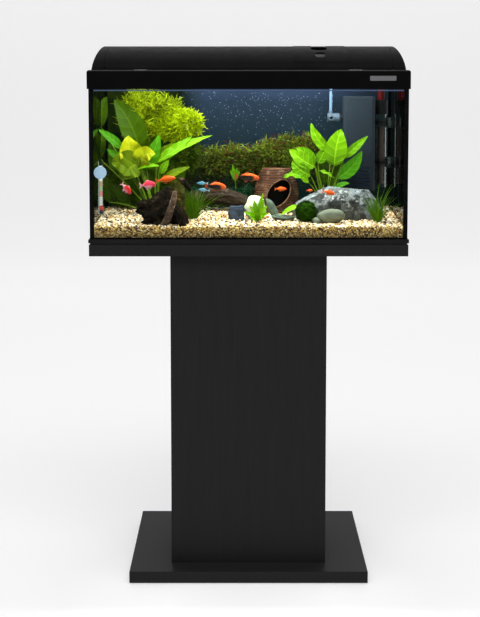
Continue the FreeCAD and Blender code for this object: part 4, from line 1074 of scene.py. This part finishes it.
# ---- fish ---------------------------------------------------------------------------------

FIN_HALF = 0.00018
# tail, back, belly and throat fins, in shares of the fish's length and height
FINS = (
    [(-0.36, 0.06), (-0.52, 0.34), (-0.50, 0.08), (-0.46, 0.0), (-0.50, -0.08), (-0.52, -0.32),
     (-0.36, -0.05)],
    [(0.10, 0.34), (-0.02, 0.52), (-0.12, 0.46), (-0.16, 0.26), (0.0, 0.30)],
    [(0.02, -0.28), (-0.06, -0.48), (-0.14, -0.40), (-0.18, -0.22)],
    [(0.18, -0.26), (0.10, -0.44), (0.08, -0.27)],
)


def one_fish(name, place, length, height, thick, heading, paint, fin_paint, tilt):
    """A small fish: lofted body, forked tail, back and belly fins. It looks towards heading."""
    rings, sides, waist = 22, 14, 0.62
    points, uvs = [], []
    for ring in range(rings + 1):
        t = ring / rings
        girth = math.sin(math.pi * min(1.0, t * 0.93 + 0.045)) ** 0.62
        if t > waist:
            girth *= 1 - 0.62 * ((t - waist) / (1 - waist)) ** 1.1
        arch = 0.06 * height * math.sin(math.pi * t)
        for s in range(sides):
            angle = FULL_TURN * s / sides
            up = math.cos(angle)
            points.append(Vector((length * (0.40 - 0.80 * t), math.sin(angle) * thick * 0.5 * girth,
                                  up * height * 0.34 * girth + arch)))
            uvs.append((t, up * 0.5 * girth + 0.5))
    body, fins, eyes = Heap(), Heap(), Heap()
    body.add(points, wall(rings, sides) + flipped(ends(rings, sides)), uvs)
    eye_points, eye_faces = ball(height * 0.062, 2)
    both = (-1, 1)
    for outline, side in ((outline, side) for outline in FINS for side in both):
        fins.add([Vector((x * length, side * FIN_HALF, z * height)) for x, z in outline],
                 [tuple(range(len(outline)))[::side]])
    for side in both:
        spot = Vector((length * 0.325, side * thick * 0.33, height * 0.07))
        eyes.add([spot + point for point in eye_points], eye_faces)
    turn = Matrix.Rotation(heading, 3, "Z") @ Matrix.Rotation(tilt, 3, "Y")
    for label, heap, colour in (("body", body, paint), ("fins", fins, fin_paint),
                                ("eyes", eyes, PAINT["magnet"])):
        heap.points = [place + turn @ point for point in heap.points]
        heap.piece("%s_%s" % (name, label), colour, "fish", "fish")


def fish():
    orange, black, pale = (0.56, 0.070, 0.003), (0.004, 0.003, 0.002), (0.60, 0.15, 0.008)
    platy = fish_paint("orange_black_scales", orange, black, black, 0.70)
    tetra = fish_paint("orange_scales", orange, pale, orange, 0.2)
    pink = fish_paint("pink_scales", (0.62, 0.03, 0.06), (0.70, 0.30, 0.36), (0.6, 0.16, 0.2), 0.35)
    red = fish_paint("red_scales", (0.42, 0.012, 0.010), (0.62, 0.12, 0.16), (0.65, 0.4, 0.4), 0.4)
    blue = fish_paint("blue_scales", (0.05, 0.20, 0.28), (0.20, 0.36, 0.42), (0.1, 0.18, 0.22), 0.45)
    orange_fin = translucent("orange_fin", (0.5, 0.08, 0.006), 0.4, 0.75)
    dark_fin = translucent("dark_fin", (0.20, 0.03, 0.003), 0.4, 0.85)
    pink_fin = translucent("pink_fin", (0.6, 0.3, 0.32), 0.4, 0.65)
    blue_fin = translucent("blue_fin", (0.4, 0.6, 0.65), 0.4, 0.5)
    # name, place, length, height and thickness in mm, heading, paint, fin paint, tilt
    for name, place, sizes, heading, paint, fin, tilt in (
            ("platy_a", (0, -60, 111), (52, 21, 8), -6, platy, dark_fin, 4),
            ("platy_b", (-62, -64, 93.5), (46, 22, 8), -4, platy, dark_fin, 3),
            ("tetra_a", (-158, -72, 108), (42, 17, 7), -8, tetra, orange_fin, -10),
            ("pink_a", (-193, -84, 98), (34, 21, 6), 5, pink, pink_fin, -5),
            ("red_a", (-235, -86, 90), (30, 17, 6), 0, red, pink_fin, 50),
            ("blue_a", (-90, -92, 102), (24, 8, 4), 180, blue, blue_fin, 0),
            ("blue_b", (-87, -92, 89), (24, 8, 4), 180, blue, blue_fin, -6),
            ("tetra_b", (66, 8, 83), (26, 11, 5), 0, tetra, orange_fin, 0),
            ("tetra_c", (156, -82, 83), (27, 13, 5), -10, tetra, orange_fin, 12),
            ("tetra_d", (119, -80, 87), (13, 7, 4), 10, tetra, orange_fin, 0)):
        one_fish(name, in_tank(*place), *(size * MM for size in sizes), math.radians(heading), paint, fin,
                 math.radians(tilt))


# ---- hood and water -----------------------------------------------------------------------

def flap_seal():
    """Soft rubber lip behind the main flap's front edge, rounded where it meets the frame."""
    low, high = corners("main_flap")
    foot = corners("hood_frame")[1].z + 0.0002
    wall_thick, thick, tall, steps, short = 0.0024, 0.0016, 0.0040, 90, 0.006
    profile = [(0, tall), (0, thick * 0.6), (thick * 0.25, thick * 0.15), (thick * 0.5, 0),
               (thick * 0.75, thick * 0.15), (thick, thick * 0.6), (thick, tall)]
    points = []
    for k in range(steps + 1):
        x = low.x + short + (high.x - low.x - 2 * short) * k / steps
        points += [Vector((x, low.y + wall_thick + y, foot + z)) for y, z in profile]
    faces = wall(steps, len(profile)) + flipped(ends(steps, len(profile)))
    piece("flap_seal_lip", points, faces, PAINT["silicone"], "silicone", body="main_flap")


def water():
    """The water's surface, its bright edge along the front pane as a painted highlight, and small bubbles that
    glow as painted glints.
    """
    level = corners("hood_frame")[0].z - 0.0008
    left, right = corners("glass_left")[1].x, corners("glass_right")[0].x
    front, rear = corners("glass_front")[1].y, corners("glass_rear")[0].y
    columns, rows = 60, 30
    points = []
    for row in range(rows + 1):
        for column in range(columns + 1):
            x, y = left + (right - left) * column / columns, front + (rear - front) * row / rows
            edge = min(x - left, right - x, y - front, rear - y)
            ripple = 0.0007 * noise.noise(Vector((x * 30, y * 30, 0)))
            points.append(Vector((x, y, level + ripple + 0.0012 * math.exp(-edge / 0.002))))
    piece("water_surface", points, grid(rows, columns), water_paint("water_skin"), "glass")

    points, steps, short = [], 120, 0.004
    for k in range(steps + 1):
        x = left + short + (right - left - 2 * short) * k / steps
        wobble = 0.0003 * noise.noise(Vector((x * 60, 0, 5)))
        points += [Vector((x, front + 0.0004, level - 0.0030 + wobble)),
                   Vector((x, front + 0.0016, level - 0.0006))]
    # Painted highlight: the water's edge along the front pane glows.
    bright = glowing("water_line", (0.07, 0.10, 0.18), 0.7)
    piece("water_line", points, rolled(grid(steps, 1)), bright, "glass")

    dice = random.Random(3)
    bubbles = Heap()
    bubble_points, bubble_faces = ball(1.0, 1)
    for _ in range(320):
        x = dice.gauss(0.03, 0.10)
        if not -0.17 < x < 0.18:
            continue
        place = Vector((x, dice.uniform(0.02, 0.12), level - 0.006 - abs(dice.gauss(0, 0.055))))
        if place.z < 0.80:
            continue
        size = dice.uniform(0.0003, 0.0007)
        bubbles.add([place + point * size for point in bubble_points], bubble_faces)
    # Painted glints: the bubbles glow though they are no lamp.
    bubbles.piece("air_bubbles", glowing("bubble_painted_glint", (0.20, 0.26, 0.34), 0.8), "glass", None)


# ---- stage, lamps, camera -----------------------------------------------------------------

def stage():
    """Pale floor that rises into a backdrop."""
    foot, bend, reach, steps = 4.2, 1.6, 9.0, 12
    profile = [(-reach, 0.0), (foot, 0.0)]
    for step in range(1, steps + 1):
        angle = math.pi / 2 * step / steps
        profile.append((foot + bend * math.sin(angle), bend - bend * math.cos(angle)))
    profile.append((foot + bend, reach))
    points = [Vector((x, y, z - 0.0005)) for y, z in profile for x in (-reach, reach)]
    mesh_object("studio_sweep", points, grid(len(profile) - 1, 1), floor_paint("studio_floor"))


def area_lamp(name, place, target, size, watts, colour=(1, 1, 1)):
    data = bpy.data.lights.new(name, "AREA")
    data.shape = "RECTANGLE"
    data.size, data.size_y = size
    data.energy = watts
    data.color = colour
    lamp = bpy.data.objects.new(name, data)
    bpy.context.scene.collection.objects.link(lamp)
    lamp.location = place
    lamp.rotation_euler = (Vector(target) - Vector(place)).to_track_quat("-Z", "Y").to_euler()
    lamp.visible_camera = False
    return lamp


def lamps():
    """Two soft boxes over the floor, and two lamps under the hood that no pane mirrors."""
    world = bpy.data.worlds.new("studio")
    bpy.context.scene.world = world
    world.use_nodes = True
    sky = world.node_tree.nodes["Background"].inputs
    sky["Color"].default_value = (0.96, 0.955, 0.96, 1)
    sky["Strength"].default_value = 0.40
    area_lamp("top_softbox", (0.0, 0.6, 3.6), (0, 0.4, 0), (3.4, 2.6), 27)
    area_lamp("front_softbox", (0.0, -1.9, 3.3), (0, -0.5, 0.0), (3.4, 1.4), 56)
    rim, warm = corners("glass_front")[1].z, (1.0, 0.98, 0.94)
    above = area_lamp("tank_light", (0, 0.02, rim - 0.004), (0, 0.02, 0), (0.52, 0.20), 3.0, warm)
    before = area_lamp("tank_light_front", (0, -0.125, rim - 0.006), (0, 0.06, rim - 0.30), (0.54, 0.03),
                       2.4, warm)
    for lamp in (above, before):
        lamp.visible_glossy = False
        lamp.visible_transmission = False


def camera():
    """Level with the hood, far away, looking slightly down, with the frame shifted to the stand."""
    eye, dip, lens_mm, shift, reach = (-0.0163, -2.7935, 0.9611), 5.73, 82.16, -0.1459, 60.0
    scene = bpy.context.scene
    data = bpy.data.cameras.new("camera")
    data.sensor_width = 36.0
    data.lens = lens_mm
    data.shift_y = shift
    data.clip_end = reach
    scene.camera = bpy.data.objects.new("camera", data)
    scene.collection.objects.link(scene.camera)
    scene.camera.location = eye
    scene.camera.rotation_euler = (math.radians(90 - dip), 0, 0)
    scene.view_settings.view_transform = "Standard"
    scene.view_settings.look = "None"


camera()
stage()
lamps()
paint_cad()
gravel()
thickets(sword_plants())
low_plants()
rock()
pebbles()
wood()
barrel()
fish()
flap_seal()
water()
